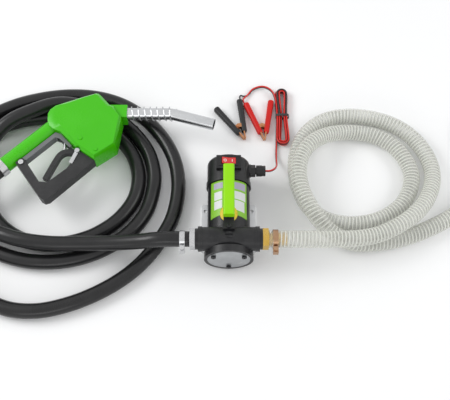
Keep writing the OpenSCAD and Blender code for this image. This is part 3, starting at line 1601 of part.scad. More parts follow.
module nozzle_screws() {
  color("silver") in_nozzle() {
    top = guard_t / 2 + hold_clip_t + 2 * seat;
    translate([pivot_x, pivot_y, -guard_t / 2]) {
      cylinder(d = pivot_pin_d, h = guard_t / 2 + top);
      translate([0, 0, guard_t / 2 + top]) cylinder(d = pivot_head_d, h = pivot_head_t);
    }
    translate([guard_screw_x, guard_screw_y, -guard_t / 2]) {
      cylinder(d = guard_screw_d, h = guard_t);
      translate([0, 0, guard_t]) cylinder(d = guard_screw_head_d, h = guard_screw_head_t);
    }
    for (p = cover_screw_places) translate([p[0], p[1], 0]) {
      translate([0, 0, casting_half - small_screw_len + cut])
        cylinder(d = small_screw_d, h = nozzle_t / 2 - casting_half + small_screw_len - cut);
      translate([0, 0, nozzle_t / 2]) cylinder(d = small_screw_head_d, h = small_screw_head_t);
    }
  }
}

module lever() {
  p = smooth(nozzle_size * lever_shares, lever_smooth);
  color("gray") in_nozzle() difference() {
    union() {
      slab(band(p, lever_w), lever_t / 2);
      translate([pivot_x, pivot_y, -lever_t / 2]) cylinder(d = pivot_boss_d, h = lever_t);
    }
    translate([pivot_x, pivot_y, -lever_t])
      cylinder(d = pivot_pin_d + 2 * run_fit, h = 2 * lever_t);
  }
}

module hold_clip() {
  color("silver") in_nozzle()
    translate([pivot_x, pivot_y, guard_t / 2 + seat]) difference() {
      union() {
        cylinder(d = hold_clip_w + 2, h = hold_clip_t);
        rotate([0, 0, hold_clip_turn])
          translate([0, -hold_clip_w / 2, 0]) cube([hold_clip_len, hold_clip_w, hold_clip_t]);
      }
      translate([0, 0, -cut])
        cylinder(d = pivot_pin_d + 2 * run_fit, h = hold_clip_t + 2 * cut);
    }
}

module valve_stem() {
  color("silver") in_nozzle() {
    along_stem(stem_low_y) cylinder(d = stem_d, h = seat_y + disc_lift_gap + cut - stem_low_y);
    along_stem(seat_y + disc_lift_gap) cylinder(d = disc_d, h = disc_t);
  }
}

// The spring stands on the cap, drawn at its shortest, so that the lifted disc stays clear
spring_y = seat_y + disc_lift_gap + disc_t + valve_travel + seat;

module valve_spring() {
  color("silver") in_nozzle() along_stem(spring_y)
    ring(valve_spring_d, valve_spring_d - 2 * valve_wire_d, valve_cap_y - spring_y);
}

module valve_cap() {
  color("silver") in_nozzle() along_stem(valve_cap_y)
    cylinder(d = upper_chamber_d - 2 * valve_cap_gap, h = valve_cap_t);
}

pump_body();
cover_plate();
cover_gasket();
cover_screws();
rotor();
vanes();
shaft_seal();
bypass_poppet();
bypass_spring();
bypass_plug();
motor_can();
magnets();
armature();
motor_shaft();
commutator();
motor_bearings();
rear_endshield();
brush_holder();
brushes();
brush_springs();
through_bolts();
end_cap();
switch_housing();
switch_rocker();
cable_gland();
lead_runs();
lead_hank();
black_clip_fixed_half();
black_clip_moving_half();
red_clip_fixed_half();
red_clip_moving_half();
clip_pins();
clip_springs();
base_plate();
motor_saddle();
mounting_screws();
handle_bar();
handle_grip();
outlet_tail();
inlet_tail();
hose_clamps();
delivery_hose_run();
delivery_hose_coil();
suction_hose_run();
suction_hose_coil();
suction_strainer();
nozzle_casting();
nozzle_cover();
nozzle_hose_tail();
nozzle_collar();
spout();
spout_spring();
guard();
guard_rail();
nozzle_screws();
lever();
hold_clip();
valve_stem();
valve_spring();
valve_cap();

union() {
  echo(delivery_length = delivery_len,
    delivery_gap = least_gap(smooth(delivery_points, 6), delivery_od, 3 * delivery_od));
  echo(suction_length = path_len(suction_smooth), ribs = suction_ribs,
    suction_gap = least_gap(smooth(suction_points, 6), suction_od, 3 * suction_od));
  echo(lead_length = path_len(lead_path) + path_len(hank_path) + path_len(arc_path)
    + path_len(red_tail_path), hank_gap = least_gap(hank_path, lead_t, 8 * lead_w));
}
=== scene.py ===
import math

import bmesh
import bpy
import numpy as np
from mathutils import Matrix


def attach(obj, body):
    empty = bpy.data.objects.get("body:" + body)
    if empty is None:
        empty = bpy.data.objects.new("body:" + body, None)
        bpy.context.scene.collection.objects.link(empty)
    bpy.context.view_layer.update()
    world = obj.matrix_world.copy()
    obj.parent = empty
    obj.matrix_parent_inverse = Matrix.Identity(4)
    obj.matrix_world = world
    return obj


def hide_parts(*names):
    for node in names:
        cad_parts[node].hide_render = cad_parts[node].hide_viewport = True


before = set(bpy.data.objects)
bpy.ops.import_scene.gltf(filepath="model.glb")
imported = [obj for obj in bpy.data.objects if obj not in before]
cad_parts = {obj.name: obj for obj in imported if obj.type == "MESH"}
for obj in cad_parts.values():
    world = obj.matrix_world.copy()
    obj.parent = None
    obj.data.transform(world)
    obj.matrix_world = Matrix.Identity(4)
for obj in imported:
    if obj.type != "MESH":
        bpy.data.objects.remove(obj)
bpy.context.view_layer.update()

# Lengths in this file are in metres, and routes are typed in millimetres.
camera_data = bpy.data.cameras.new("camera")
camera_data.sensor_width = 36
camera_data.lens = 58.8
camera_data.clip_start = 0.05
camera_data.clip_end = 20
camera = bpy.data.objects.new("camera", camera_data)
camera.location = (-0.0065, -0.5334, 1.2134)
camera.rotation_euler = (math.radians(26), 0, 0)
bpy.context.scene.collection.objects.link(camera)
bpy.context.scene.camera = camera
bpy.context.scene.view_settings.view_transform = "Standard"

# Floor and light
# A pale plain floor that keeps the shadow, a white surround for what the camera sees,
# and soft boxes above it that give the metal and plastic their highlights.
floor_half = 6.0
floor_mesh = bpy.data.meshes.new("floor")
floor_mesh.from_pydata([(-floor_half, -floor_half, 0), (floor_half, -floor_half, 0),
                        (floor_half, floor_half, 0), (-floor_half, floor_half, 0)],
                       [], [(0, 1, 2, 3)])
floor = bpy.data.objects.new("floor", floor_mesh)
bpy.context.scene.collection.objects.link(floor)
floor_paint = bpy.data.materials.new("floor_white")
floor_paint.use_nodes = True
floor_bsdf = floor_paint.node_tree.nodes["Principled BSDF"]
floor_bsdf.inputs["Base Color"].default_value = (0.95, 0.95, 0.95, 1)
floor_bsdf.inputs["Roughness"].default_value = 0.9
floor_bsdf.inputs["Specular IOR Level"].default_value = 0.1
floor_mesh.materials.append(floor_paint)


def wire(tree, kind, values=None, **links):
    """A node of that kind with its input values; links name the sockets that feed it."""
    node = tree.nodes.new("ShaderNode" + kind)
    for key, value in (values or {}).items():
        node.inputs[key].default_value = value
    for key, source in links.items():
        tree.links.new(source, node.inputs[key.replace("_", " ").title()])
    return node


def reckon(tree, operation, *terms):
    """A math node's result on terms, each a number or a socket."""
    node = tree.nodes.new("ShaderNodeMath")
    node.operation = operation
    for place, term in enumerate(terms):
        if isinstance(term, (int, float)):
            node.inputs[place].default_value = term
        else:
            tree.links.new(term, node.inputs[place])
    return node.outputs[0]


world = bpy.data.worlds.new("studio")
bpy.context.scene.world = world
world.use_nodes = True
sky = world.node_tree
sky.nodes.clear()
sky_out = sky.nodes.new("ShaderNodeOutputWorld")
sky_mix = sky.nodes.new("ShaderNodeMixShader")
sky_seen = wire(sky, "Background", {"Color": (1, 1, 1, 1), "Strength": 1.0})
sky_light = wire(sky, "Background", {"Color": (0.98, 0.99, 1, 1), "Strength": 0.7})
sky_ray = wire(sky, "LightPath").outputs
sky_first = reckon(sky, "MAXIMUM", sky_ray["Is Camera Ray"], sky_ray["Is Glossy Ray"])
sky_any = reckon(sky, "MAXIMUM", sky_first, sky_ray["Is Transmission Ray"])
sky.links.new(sky_any, sky_mix.inputs[0])
sky.links.new(sky_light.outputs[0], sky_mix.inputs[1])
sky.links.new(sky_seen.outputs[0], sky_mix.inputs[2])
sky.links.new(sky_mix.outputs[0], sky_out.inputs["Surface"])


def soft_box(name, place, aim, width, depth, power):
    """A rectangular area lamp of that width and depth in metres at place, facing aim."""
    lamp = bpy.data.lights.new(name, "AREA")
    lamp.shape = "RECTANGLE"
    lamp.size = width
    lamp.size_y = depth
    lamp.energy = power
    holder = bpy.data.objects.new(name, lamp)
    way = np.array(aim, float) - np.array(place, float)
    turn = math.atan2(way[1], way[0]) - math.pi / 2
    lean = math.acos(-way[2] / np.linalg.norm(way))
    holder.location = place
    holder.rotation_euler = (lean, 0, turn)
    bpy.context.scene.collection.objects.link(holder)


soft_box("key", (-1.9, 0.5, 1.7), (0, 0.05, 0), 1.3, 1.0, 26)
soft_box("fill", (1.9, 0.0, 1.5), (0, 0.05, 0), 1.4, 1.0, 12)
soft_box("front", (-0.4, -1.9, 0.9), (0, 0.05, 0), 1.2, 0.5, 4)


# Delivery hose
# Black rubber hose, 26.5 mm outside, cut to 3.83 m: it runs from the outlet tail, lies in loops
# beside the pump and ends on the nozzle's tail. One closed tube follows its whole route.
delivery_d = 0.0265
delivery_bore = 0.0192
delivery_sides = 32
delivery_route = np.array([
    [-66.5, -49, 70], [-83, -49, 70], [-100, -49, 70], [-125, -48.7, 66.5], [-155, -48, 57],
    [-200, -47, 48], [-255, -46, 43], [-310, -45, 42], [-360, -38, 42], [-405, -22, 38],
    [-450, 4, 24], [-479, 47, 15], [-489, 96, 14], [-484, 145, 14], [-458, 188, 14],
    [-413, 215, 14], [-362, 226, 14], [-310, 225, 14], [-258, 212, 14], [-214, 187, 14],
    [-183, 151, 14], [-167, 108, 14], [-168, 65, 14], [-183, 31, 14], [-210, 1, 14],
    [-250, -23, 14], [-300, -35, 14], [-354, -30, 14], [-399, -6, 14], [-432, 32, 14],
    [-454, 76, 14], [-457, 122, 17], [-443, 164, 29], [-412, 201, 40], [-368, 226, 42],
    [-324, 245, 36], [-280, 246, 27], [-232, 234, 18], [-188, 202, 14], [-153, 156, 14],
    [-138, 110, 14], [-138, 68, 14], [-150, 24, 14], [-178, -15, 14], [-219, -44, 14],
    [-264, -62, 14], [-312, -69, 14], [-362, -65, 14], [-411, -49, 14], [-461, -23, 14],
    [-502, 19, 14], [-521, 73, 14], [-521, 127, 14], [-501, 179, 14], [-464, 223, 14],
    [-415, 253, 14], [-362, 270, 14], [-308, 277, 14], [-255, 273, 14], [-205, 256, 14],
    [-160, 224, 14], [-122, 178, 14], [-99, 128, 14], [-92, 75, 14], [-99, 22, 14],
    [-116, -18, 14], [-140, -56, 14], [-172, -90, 14], [-215, -120, 14], [-268, -144, 14],
    [-325, -157, 14], [-380, -152, 14], [-428, -127, 14], [-462, -91, 18], [-479, -59, 27],
    [-485, -27, 39], [-482, 5, 49], [-472, 29, 55], [-458, 44, 56], [-441, 61, 56],
    [-424, 78, 56]]) / 1000


def curve_through(points, step):
    """Even places on a curve through points, where a, b, c, d are four in a row:
    2 P(t) = 2b + (c - a) t + (2a - 5b + 4c - d) t^2 + (3b - a - 3c + d) t^3, t from 0 to 1."""
    p = np.vstack([2 * points[0] - points[1], points, 2 * points[-1] - points[-2]])
    a, b, c, d = (p[i:len(p) - 3 + i, None, :] for i in range(4))
    t = np.linspace(0, 1, 32, endpoint=False)[None, :, None]
    bend = (2 * b + (c - a) * t + (2 * a - 5 * b + 4 * c - d) * t ** 2
            + (3 * b - a - 3 * c + d) * t ** 3) / 2
    bend = np.vstack([bend.reshape(-1, 3), points[-1]])
    gone = np.concatenate([[0], np.cumsum(np.linalg.norm(np.diff(bend, axis=0), axis=1))])
    stops = np.linspace(0, gone[-1], max(2, int(round(gone[-1] / step)) + 1))
    return np.column_stack([np.interp(stops, gone, bend[:, k]) for k in range(3)]), gone[-1]


def place_on(line, length, along):
    """Points of a line at distances along it, with the side and up directions there:
    side = T x Z and up = side x T for the line's heading T."""
    gone = np.linspace(0, length, len(line))
    at = np.column_stack([np.interp(along, gone, line[:, k]) for k in range(3)])
    heading = np.gradient(line, axis=0)
    heading = np.column_stack([np.interp(along, gone, heading[:, k]) for k in range(3)])
    heading /= np.linalg.norm(heading, axis=1, keepdims=True)
    side = np.cross(heading, [0, 0, 1.0])
    side /= np.linalg.norm(side, axis=1, keepdims=True)
    return at, side, np.cross(side, heading)


def tube(line, length, along, radii, sides, closed=True):
    """Tube: ring i is P(s_i) + r_ij (cos a_j side + sin a_j up), a_j = 2 pi j / sides, where
    radii has one row for each ring; closed shuts its first and last rings flat."""
    at, side, up = place_on(line, length, along)
    angle = 2 * np.pi * np.arange(sides) / sides
    radii = np.broadcast_to(np.asarray(radii, float), (len(at), sides))
    rings = (at[:, None] + (radii * np.cos(angle))[..., None] * side[:, None]
             + (radii * np.sin(angle))[..., None] * up[:, None])
    return ring_mesh(rings, closed)


def ring_mesh(rings, closed=True):
    """Vertices and faces of a skin over an array of rings, (ring, place, xyz); the rings' own
    order round and along makes its normals point outward, and closed adds both flat ends."""
    count, sides = rings.shape[:2]
    i, j = np.meshgrid(np.arange(count - 1), np.arange(sides), indexing="ij")
    k = (j + 1) % sides
    quads = np.stack([i * sides + j, i * sides + k, (i + 1) * sides + k, (i + 1) * sides + j],
                     axis=-1).reshape(-1, 4).tolist()
    if closed:
        quads.append(list(range(sides))[::-1])
        quads.append([(count - 1) * sides + m for m in range(sides)])
    return rings.reshape(-1, 3), quads


def piece(name, points, faces, material, slot, body="pump", smooth=True):
    """A new piece from points and faces, with its material, that rides on a body."""
    mesh = bpy.data.meshes.new(name)
    mesh.from_pydata(np.asarray(points).tolist(), [], faces)
    mesh.polygons.foreach_set("use_smooth", [smooth] * len(mesh.polygons))
    mesh.materials.append(material)
    made = bpy.data.objects.new(name, mesh)
    bpy.context.scene.collection.objects.link(made)
    skin = bmesh.new()
    skin.from_mesh(mesh)
    bmesh.ops.recalc_face_normals(skin, faces=skin.faces)
    skin.to_mesh(mesh)
    skin.free()
    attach(made, body)
    return made


def effect(name, inputs, outputs):
    """An empty node group with value inputs (name, default) and outputs (name, kind)."""
    group = bpy.data.node_groups.new(name, "ShaderNodeTree")
    for label, default in inputs:
        socket = group.interface.new_socket(label, in_out="INPUT", socket_type="NodeSocketFloat")
        socket.default_value = default
    for label, kind in outputs:
        group.interface.new_socket(label, in_out="OUTPUT", socket_type="NodeSocket" + kind)
    return group, group.nodes.new("NodeGroupInput"), group.nodes.new("NodeGroupOutput")


# Uneven surface, an effect that most materials use: a patchy shade, a roughness that wanders
# round a middle value, and fine grain for a bump.
uneven, uneven_in, uneven_out = effect(
    "uneven", [("Patch Size", 12.0), ("Grain Size", 900.0), ("Roughness", 0.4), ("Swing", 0.1)],
    [("Shade", "Float"), ("Rough", "Float"), ("Grain", "Float")])
where = wire(uneven, "TexCoord")
patch = wire(uneven, "TexNoise", {"Detail": 4.0, "Roughness": 0.6},
             vector=where.outputs["Object"], scale=uneven_in.outputs["Patch Size"])
grain = wire(uneven, "TexNoise", {"Detail": 3.0, "Roughness": 0.7},
             vector=where.outputs["Object"], scale=uneven_in.outputs["Grain Size"])
centred = reckon(uneven, "SUBTRACT", patch.outputs[0], 0.5)
swung = reckon(uneven, "MULTIPLY_ADD", centred, uneven_in.outputs["Swing"],
               uneven_in.outputs["Roughness"])
speckled = reckon(uneven, "MULTIPLY_ADD", grain.outputs[0], 0.06, swung)
uneven.links.new(patch.outputs[0], uneven_out.inputs["Shade"])
uneven.links.new(speckled, uneven_out.inputs["Rough"])
uneven.links.new(grain.outputs[0], uneven_out.inputs["Grain"])

# Handling marks, an effect for touched surfaces: thin scratches in two directions.
marks, marks_in, marks_out = effect("handling_marks", [("Amount", 0.5), ("Size", 60.0)],
                                    [("Mask", "Float")])
where = wire(marks, "TexCoord")
lines = []
for turn, stretch in ((0.5, (1.0, 14.0, 1.0)), (-0.7, (12.0, 1.0, 9.0))):
    spun = wire(marks, "Mapping", {"Rotation": (0.2, turn, turn), "Scale": stretch},
                vector=where.outputs["Object"])
    thread = wire(marks, "TexNoise", {"Detail": 2.0, "Roughness": 0.5},
                  vector=spun.outputs[0], scale=marks_in.outputs["Size"])
    lines.append(wire(marks, "MapRange", {"From Min": 0.66, "From Max": 0.72},
                      value=thread.outputs[0]).outputs[0])
either = reckon(marks, "MAXIMUM", *lines)
kept_marks = reckon(marks, "MULTIPLY", either, marks_in.outputs["Amount"])
marks.links.new(kept_marks, marks_out.inputs["Mask"])

# Settled dust, an effect for surfaces that face up: a thin broken film.
dust, dust_in, dust_out = effect("settled_dust", [("Amount", 0.3)], [("Mask", "Float")])
where = wire(dust, "TexCoord")
lie = wire(dust, "NewGeometry")
upward = wire(dust, "SeparateXYZ", vector=lie.outputs["Normal"])
facing = wire(dust, "MapRange", {"From Min": 0.3, "From Max": 1.0},
              value=upward.outputs["Z"])
flecks = wire(dust, "TexNoise", {"Scale": 35.0, "Detail": 6.0, "Roughness": 0.65},
              vector=where.outputs["Object"])
broken = wire(dust, "MapRange", {"From Min": 0.42, "From Max": 0.75},
              value=flecks.outputs[0])
lying = reckon(dust, "MULTIPLY", broken.outputs[0], facing.outputs[0])
kept_dust = reckon(dust, "MULTIPLY", lying, dust_in.outputs["Amount"])
dust.links.new(kept_dust, dust_out.inputs["Mask"])


def use(tree, group, **values):
    """A use of an effect in a material, with its input values."""
    node = tree.nodes.new("ShaderNodeGroup")
    node.node_tree = group
    for key, value in values.items():
        node.inputs[key.replace("_", " ").title()].default_value = value
    return node


def blend_of(tree, factor, a, b):
    """The colour that lies between a and b by a factor; a and b are colours or sockets."""
    node = tree.nodes.new("ShaderNodeMix")
    node.data_type = "RGBA"
    tree.links.new(factor, node.inputs["Factor"])
    for label, colour in (("A", a), ("B", b)):
        socket = [s for s in node.inputs if s.name == label and s.type == "RGBA"][0]
        if isinstance(colour, tuple):
            socket.default_value = colour + (1,)
        else:
            tree.links.new(colour, socket)
    return [s for s in node.outputs if s.type == "RGBA"][0]


mark_strength = 0.4
mark_size = 60.0
mark_gain = 1.6
mark_lift = 0.05
dust_strength = 0.2
dust_colour = (0.55, 0.54, 0.52)
dust_rough = 0.3
coat_rough = 0.12


def finish_of(name, dark, light, rough, swing=0.1, metal=0.0, patch=12.0, grain=900.0, bump=0.1,
              mark=0.3, mark_colour=None, dusty=0.2, coat=0.0, depth=0.0004, shine=0.5):
    """A material between two close colours, with wandering roughness, grain, marks and dust."""
    made = bpy.data.materials.new(name)
    made.use_nodes = True
    tree = made.node_tree
    bsdf = tree.nodes["Principled BSDF"]
    bsdf.inputs["Metallic"].default_value = metal
    bsdf.inputs["Coat Weight"].default_value = coat
    bsdf.inputs["Specular IOR Level"].default_value = shine
    bsdf.inputs["Coat Roughness"].default_value = coat_rough
    skin = use(tree, uneven, patch_size=patch, grain_size=grain, roughness=rough, swing=swing)
    worn = use(tree, marks, amount=mark_strength * mark, size=mark_size)
    settled = use(tree, dust, amount=dust_strength * dusty)
    colour = blend_of(tree, skin.outputs["Shade"], dark, light)
    tone = mark_colour or tuple(min(1.0, mark_gain * c + mark_lift) for c in light)
    colour = blend_of(tree, worn.outputs["Mask"], colour, tone)
    colour = blend_of(tree, settled.outputs["Mask"], colour, dust_colour)
    tree.links.new(colour, bsdf.inputs["Base Color"])
    duller = reckon(tree, "MULTIPLY_ADD", settled.outputs["Mask"], dust_rough,
                    skin.outputs["Rough"])
    tree.links.new(duller, bsdf.inputs["Roughness"])
    raised = reckon(tree, "SUBTRACT", skin.outputs["Grain"], worn.outputs["Mask"])
    relief = wire(tree, "Bump", {"Strength": bump, "Distance": depth}, height=raised)
    tree.links.new(relief.outputs[0], bsdf.inputs["Normal"])
    return made


hose_rubber = finish_of("hose_rubber", (0.005, 0.005, 0.0055), (0.011, 0.011, 0.012), 0.25, 0.08,
                        patch=9.0, bump=0.08, mark=0.15, dusty=0.06, shine=0.4)
route_step = 0.002
ring_step = 0.004
end_gap = 0.003
outlet_bore_depth = 0.045
nozzle_bore_depth = 0.03
end_round = 0.0008
end_drop = 0.0006
delivery_line, delivery_length = curve_through(delivery_route, route_step)
delivery_along = np.concatenate([
    [outlet_bore_depth, 0.0, 0.0, end_round],
    np.arange(ring_step, delivery_length - end_gap, ring_step),
    delivery_length - np.array([end_round, 0.0, 0.0, nozzle_bore_depth])])
delivery_radii = np.full((len(delivery_along), 1), delivery_d / 2)
delivery_radii[[0, 1, -2, -1]] = delivery_bore / 2
delivery_radii[[2, -3]] = delivery_d / 2 - end_drop
delivery_hose = piece("delivery_hose", *tube(delivery_line, delivery_length, delivery_along,
                                             delivery_radii, delivery_sides),
                      hose_rubber, "black_hose")
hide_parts("delivery_hose_run", "delivery_hose_coil")

# Suction hose
# Clear plastic hose, 30 mm over its ribs, cut to 1.96 m: a wavy clear wall round a milky rigid
# spiral. It runs from the inlet tail, lies in loops and ends on the strainer.
suction_d = 0.0300
suction_pitch = 0.0064
suction_inner_r = 0.0129
suction_sides = 24
wave_rings = 6
wave_depth = 0.00018
bore_step = 0.006
suction_route = np.array([
    [67.5, -49, 70], [84, -49, 70], [100.5, -49, 70], [122, -48.6, 68.5], [150, -47, 64.5],
    [185, -44, 58.5], [222, -40, 52], [258, -31, 47], [292, -15, 46], [324, 8, 42],
    [351, 39, 34], [370, 78, 24], [375, 117, 17], [364, 155, 16], [342, 187, 16],
    [310, 211, 16], [270, 225, 16], [228, 229, 16], [190, 222, 16], [158, 202, 16],
    [136, 172, 16], [126, 136, 16], [125, 99, 16], [132, 64, 16], [147, 34, 16],
    [173, 12, 16], [209, 3, 16], [246, 5, 16], [281, 17, 16], [311, 39, 16], [330, 69, 16],
    [337, 103, 16], [328, 136, 16], [309, 164, 16], [279, 184, 16], [244, 192, 16],
    [210, 189, 22], [176, 174, 34], [148, 149, 46], [131, 120, 48], [126, 88, 48],
    [130, 56, 48], [141, 27, 48], [159, -2, 43], [185, -23, 31], [218, -34, 18],
    [255, -34, 16], [290, -29, 16], [325, -19, 16], [360, -4, 16], [396, 15, 16],
    [430, 39, 16], [454, 68, 16], [466, 95, 16], [470, 117, 16], [470, 134, 16],
    [470, 150, 16]]) / 1000
suction_line, suction_length = curve_through(suction_route, route_step)
outside_along = np.arange(0, suction_length, suction_pitch / wave_rings)
wave_angle = 2 * np.pi * (outside_along[:, None] / suction_pitch
                          - np.arange(suction_sides)[None] / suction_sides)
wall_radii = suction_d / 2 - wave_depth * (1 - np.cos(wave_angle))
# The skin runs along the outside, round the far end, and back along the bore.
inside_along = np.append(np.arange(0, suction_length, bore_step), suction_length)[::-1]
suction_along = np.concatenate([outside_along, [suction_length], inside_along])
wall_radii = np.vstack([wall_radii, wall_radii[-1:],
                        np.full((len(inside_along), suction_sides), suction_inner_r)])
hose_points, hose_faces = tube(suction_line, suction_length, suction_along, wall_radii,
                               suction_sides, closed=False)
last_ring = (len(suction_along) - 1) * suction_sides
hose_faces += [[j, (j + 1) % suction_sides, last_ring + (j + 1) % suction_sides, last_ring + j]
               for j in range(suction_sides)]

clear_wall = finish_of("clear_wall", (0.72, 0.73, 0.66), (0.86, 0.86, 0.80), 0.08, 0.06,
                       patch=14.0, grain=300.0, bump=0.05, mark=0.15, dusty=0.1)
clear_tree = clear_wall.node_tree
rim_light = wire(clear_tree, "LayerWeight", {"Blend": 0.35})
see_through = wire(clear_tree, "MapRange", {"To Min": 0.15, "To Max": 0.55},
                   value=rim_light.outputs["Facing"])
clear_tree.links.new(see_through.outputs[0], clear_tree.nodes["Principled BSDF"].inputs["Alpha"])
suction_hose = piece("suction_hose", hose_points, hose_faces, clear_wall, "clear_hose")
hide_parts("suction_hose_run", "suction_hose_coil")

# The milky spiral in the wall: a flat rigid wire wound at one turn every 6.4 mm,
# P(s) = C(s) + R (cos q side + sin q up), q = 2 pi s / pitch.
spiral_r = 0.01385
wire_half_tall = 0.0007
wire_half_wide = 0.0012
wire_sides = 6
spiral_margin = 0.002
spiral_rings_a_turn = 14
spiral_along = np.arange(spiral_margin, suction_length - spiral_margin,
                         suction_pitch / spiral_rings_a_turn)
spiral_at, spiral_side, spiral_up = place_on(suction_line, suction_length, spiral_along)
spiral_q = 2 * np.pi * spiral_along[:, None] / suction_pitch
spiral_out = np.cos(spiral_q) * spiral_side + np.sin(spiral_q) * spiral_up
spiral_along_hose = np.cross(spiral_side, spiral_up)
round_wire = (2 * np.pi * (np.arange(wire_sides) + 0.5) / wire_sides)[None, :, None]
spiral_rings = (spiral_at[:, None] + spiral_r * spiral_out[:, None]
                + wire_half_tall * np.sin(round_wire) * spiral_out[:, None]
                + wire_half_wide * np.cos(round_wire) * spiral_along_hose[:, None])
milky = finish_of("milky_spiral", (0.76, 0.77, 0.72), (0.86, 0.86, 0.82), 0.35, 0.1, patch=20.0,
                  grain=500.0, bump=0.05, mark=0.0, dusty=0.0)
piece("suction_spiral", *ring_mesh(spiral_rings), milky, "clear_hose")


seam_gap = 0.000003
level_angle = math.radians(0.8)
sharp_angle = math.radians(38)


def dress(names, material, soften=0.0, more=()):
    """Puts a material on CAD nodes; soften welds their seams and rounds their sharp edges."""
    for name in names.split():
        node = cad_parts[name]
        node.data.materials.clear()
        for one in (material,) + tuple(more):
            node.data.materials.append(one)
        if soften:
            weld = node.modifiers.new("weld", "WELD")
            weld.merge_threshold = seam_gap
            flat = node.modifiers.new("flat", "DECIMATE")
            flat.decimate_type = "DISSOLVE"
            flat.angle_limit = level_angle
            flat.delimit = {"MATERIAL"}
            edge = node.modifiers.new("edge", "BEVEL")
            edge.width = soften
            edge.segments = 3
            edge.limit_method = "ANGLE"
            edge.angle_limit = sharp_angle
            edge.face_strength_mode = "FSTR_ALL"
            even = node.modifiers.new("even", "WEIGHTED_NORMAL")
            even.keep_sharp = False
            even.weight = 100
            even.use_face_influence = True


def mesh_arrays(mesh):
    """A mesh's vertex places, the vertex of each face corner, and each face's first corner."""
    spots = np.zeros(len(mesh.vertices) * 3)
    mesh.vertices.foreach_get("co", spots)
    corners = np.zeros(len(mesh.loops), int)
    mesh.loops.foreach_get("vertex_index", corners)
    starts = np.zeros(len(mesh.polygons), int)
    mesh.polygons.foreach_get("loop_start", starts)
    return spots.reshape(-1, 3), corners, starts


def tint_faces(name, inside):
    """Gives a CAD node's faces its second material where every corner lies inside a region."""
    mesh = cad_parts[name].data
    spots, corners, starts = mesh_arrays(mesh)
    held = np.logical_and.reduceat(inside(*spots[corners].T), starts)
    mesh.polygons.foreach_set("material_index", held.astype(int).tolist())


# Battery clips
# Black and red moulded handle sleeves over copper-plated steel arms, pinned with a spring. Each
# half is its steel arm with a sleeve pushed over it.
clip_mid = 0.0068
sleeve_over = 0.0046
sleeve_tall = 0.0065
sleeve_end = 0.004
sleeve_rings = 90
sleeve_sides = 28
finger_pitch = 0.0052
finger_depth = 0.00022
squareness = 0.7
arm_round = 0.0004
arm_sharp = 0.6
clip_black = finish_of("clip_black", (0.007, 0.007, 0.008), (0.018, 0.018, 0.019), 0.40, 0.12,
                       patch=40.0, bump=0.12, mark=0.25, dusty=0.08, shine=0.4)
clip_red = finish_of("clip_red", (0.50, 0.004, 0.002), (0.66, 0.009, 0.004), 0.36, 0.12,
                     patch=40.0, bump=0.12, mark=0.2, dusty=0.05, shine=0.35)
clip_copper = finish_of("clip_copper", (0.38, 0.15, 0.06), (0.62, 0.30, 0.15), 0.26, 0.12,
                        metal=1.0, patch=60.0, bump=0.08, mark=0.5,
                        mark_colour=(0.85, 0.75, 0.65))
dress("clip_pins clip_springs", clip_copper)


